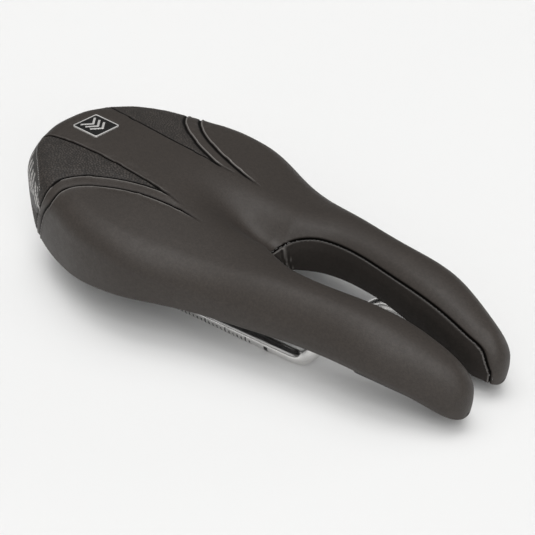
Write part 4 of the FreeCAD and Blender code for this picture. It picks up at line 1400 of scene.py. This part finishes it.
def build_strip():
    columns = np.arange(-STRIP_HALF, STRIP_HALF + 0.01, 0.8)
    points, normals, uv = [], [], []
    for s in columns:
        edge = at_arc(s)
        k = int(np.argmin(((outline - edge) ** 2).sum(1)))
        across, down = radius_in[k], radius_down[k]
        inset = np.interp(abs(s), STRIP_TOP_AT, STRIP_TOP_INSET)
        top_angle = math.acos(1 - inset / across)
        shoulder = 0.5 * (across + down) * top_angle
        wall_top = crown_point(*edge) - down
        wall = max(wall_top - STRIP_BOTTOM, 3.0)
        for j in range(STRIP_ROWS):
            run = (shoulder + wall) * j / (STRIP_ROWS - 1)
            if run < shoulder:
                angle = top_angle * (1 - run / shoulder)
                q = edge + inward[k] * across * (1 - math.cos(angle))
                z = crown_point(*q) - down * (1 - math.sin(angle))
            else:
                q, z = edge, wall_top - (run - shoulder)
            location, normal = on_surface((q[0], q[1], z))
            points.append(location + normal * STRIP_LIFT)
            normals.append(normal)
            uv.append((s, run))
    points, normals, uv = np.array(points), np.array(normals), np.array(uv)
    faces = []
    for c in range(len(columns) - 1):
        for j in range(STRIP_ROWS - 1):
            here, there = c * STRIP_ROWS + j, (c + 1) * STRIP_ROWS + j
            faces.append((here, here + 1, there + 1, there))
    a, b, c, d = points[list(faces[0])]
    if np.cross(c - a, d - b) @ normals[0] < 0:
        faces = [face[::-1] for face in faces]       # outer face outwards
    build_mesh("rear_strip_film", np.vstack([points, points - normals * STRIP_THICKNESS]),
               close_sheet(faces, sorted(open_edges(faces)), len(points)),
               materials=[reflective], replaces="rear_reflective_strip", slot="reflective",
               uv=np.vstack([uv, uv]))


build_strip()

# ---------------------------------------------------------------- finishes of the CAD parts
FINISH = {"left_rail": rail_steel, "right_rail": rail_steel, "base_shell": shell_nylon,
          "cover_staples": staple_steel, "front_socket_screws": screw_steel,
          "rear_socket_screws": screw_steel}
for name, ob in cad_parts.items():
    material = FINISH.get(name, socket_nylon if "socket" in name else None)
    if material is None:
        continue
    if not ob.material_slots:
        ob.data.materials.append(material)
    for material_slot in ob.material_slots:
        material_slot.material = material

# ---------------------------------------------------------------- stage; lengths in metres
FLOOR_HALF, FLOOR_Z = 6, -0.0036
LIGHT_SPREAD = 28.0                     # degrees
LIGHT_DISTANCE = 1.5
LIGHT_GAIN = 0.91
# azimuth and elevation in degrees, power before the gain
LIGHTS = [
    (0, 90, 0.75), (75, 68, 0.14), (135, 68, 0.18), (195, 68, 0.30), (255, 68, 0.36),
    (315, 68, 0.55), (225, 46, 0.12), (315, 46, 1.38), (330, 24, 0.62), (240, 24, 0.07),
    (60, 8, 0.40), (288, 28, 0.30)]
scene = bpy.context.scene
scene.view_settings.view_transform = "Standard"
scene.view_settings.look = "None"


def build_floor():
    s = Shader("floor")
    s.drive(Base_Color=s.mix(s.noise(scale=3, detail=2), (0.765, 0.765, 0.76),
                             (0.78, 0.78, 0.775)),
            Roughness=0.9, Specular_IOR_Level=0.15)
    me = bpy.data.meshes.new("floor")
    corners = ((-1, -1), (1, -1), (1, 1), (-1, 1))
    me.from_pydata([(x * FLOOR_HALF, y * FLOOR_HALF, FLOOR_Z) for x, y in corners],
                   [], [(0, 1, 2, 3)])
    floor = bpy.data.objects.new("floor", me)
    scene.collection.objects.link(floor)
    me.materials.append(s.material)


def build_world():
    """Bright where the camera sees it, dim as a light."""
    unseen, seen_extra = 0.12, 0.76
    world = bpy.data.worlds.new("studio")
    scene.world = world
    world.use_nodes = True
    tree = world.node_tree
    background = tree.nodes["Background"]
    background.inputs[0].default_value = (1.0, 0.995, 0.985, 1)
    rays = tree.nodes.new("ShaderNodeLightPath")
    strength = tree.nodes.new("ShaderNodeMath")
    strength.operation = "MULTIPLY_ADD"
    strength.inputs[1].default_value = seen_extra
    strength.inputs[2].default_value = unseen
    tree.links.new(rays.outputs["Is Camera Ray"], strength.inputs[0])
    tree.links.new(strength.outputs[0], background.inputs[1])


def build_light(name, azimuth, elevation, energy):
    light = bpy.data.lights.new(name, "SUN")
    light.angle = math.radians(LIGHT_SPREAD)
    light.energy = energy
    a, e = math.radians(azimuth), math.radians(elevation)
    ob = bpy.data.objects.new(name, light)
    towards = Vector((math.cos(e) * math.cos(a), math.cos(e) * math.sin(a), math.sin(e)))
    ob.location = towards * LIGHT_DISTANCE
    ob.rotation_euler = (-towards).to_track_quat("-Z", "Y").to_euler()
    scene.collection.objects.link(ob)


def build_camera():
    data = bpy.data.cameras.new("camera")
    data.lens, data.sensor_width = 83.89, 36.0
    data.clip_start = 0.01
    camera = bpy.data.objects.new("camera", data)
    right = (0.78092, 0.62463, -0.00058)
    up = (-0.33099, 0.41459, 0.84768)
    backward = (0.52973, -0.66178, 0.53051)
    place = (0.33256, -0.39244, 0.33862)
    camera.matrix_world = Matrix((*zip(right, up, backward, place), (0, 0, 0, 1)))
    scene.collection.objects.link(camera)
    scene.camera = camera


build_floor()
build_world()
for number, (azimuth, elevation, power) in enumerate(LIGHTS):
    build_light("soft_%02d" % number, azimuth, elevation, power * LIGHT_GAIN)
build_camera()

bpy.context.view_layer.update()
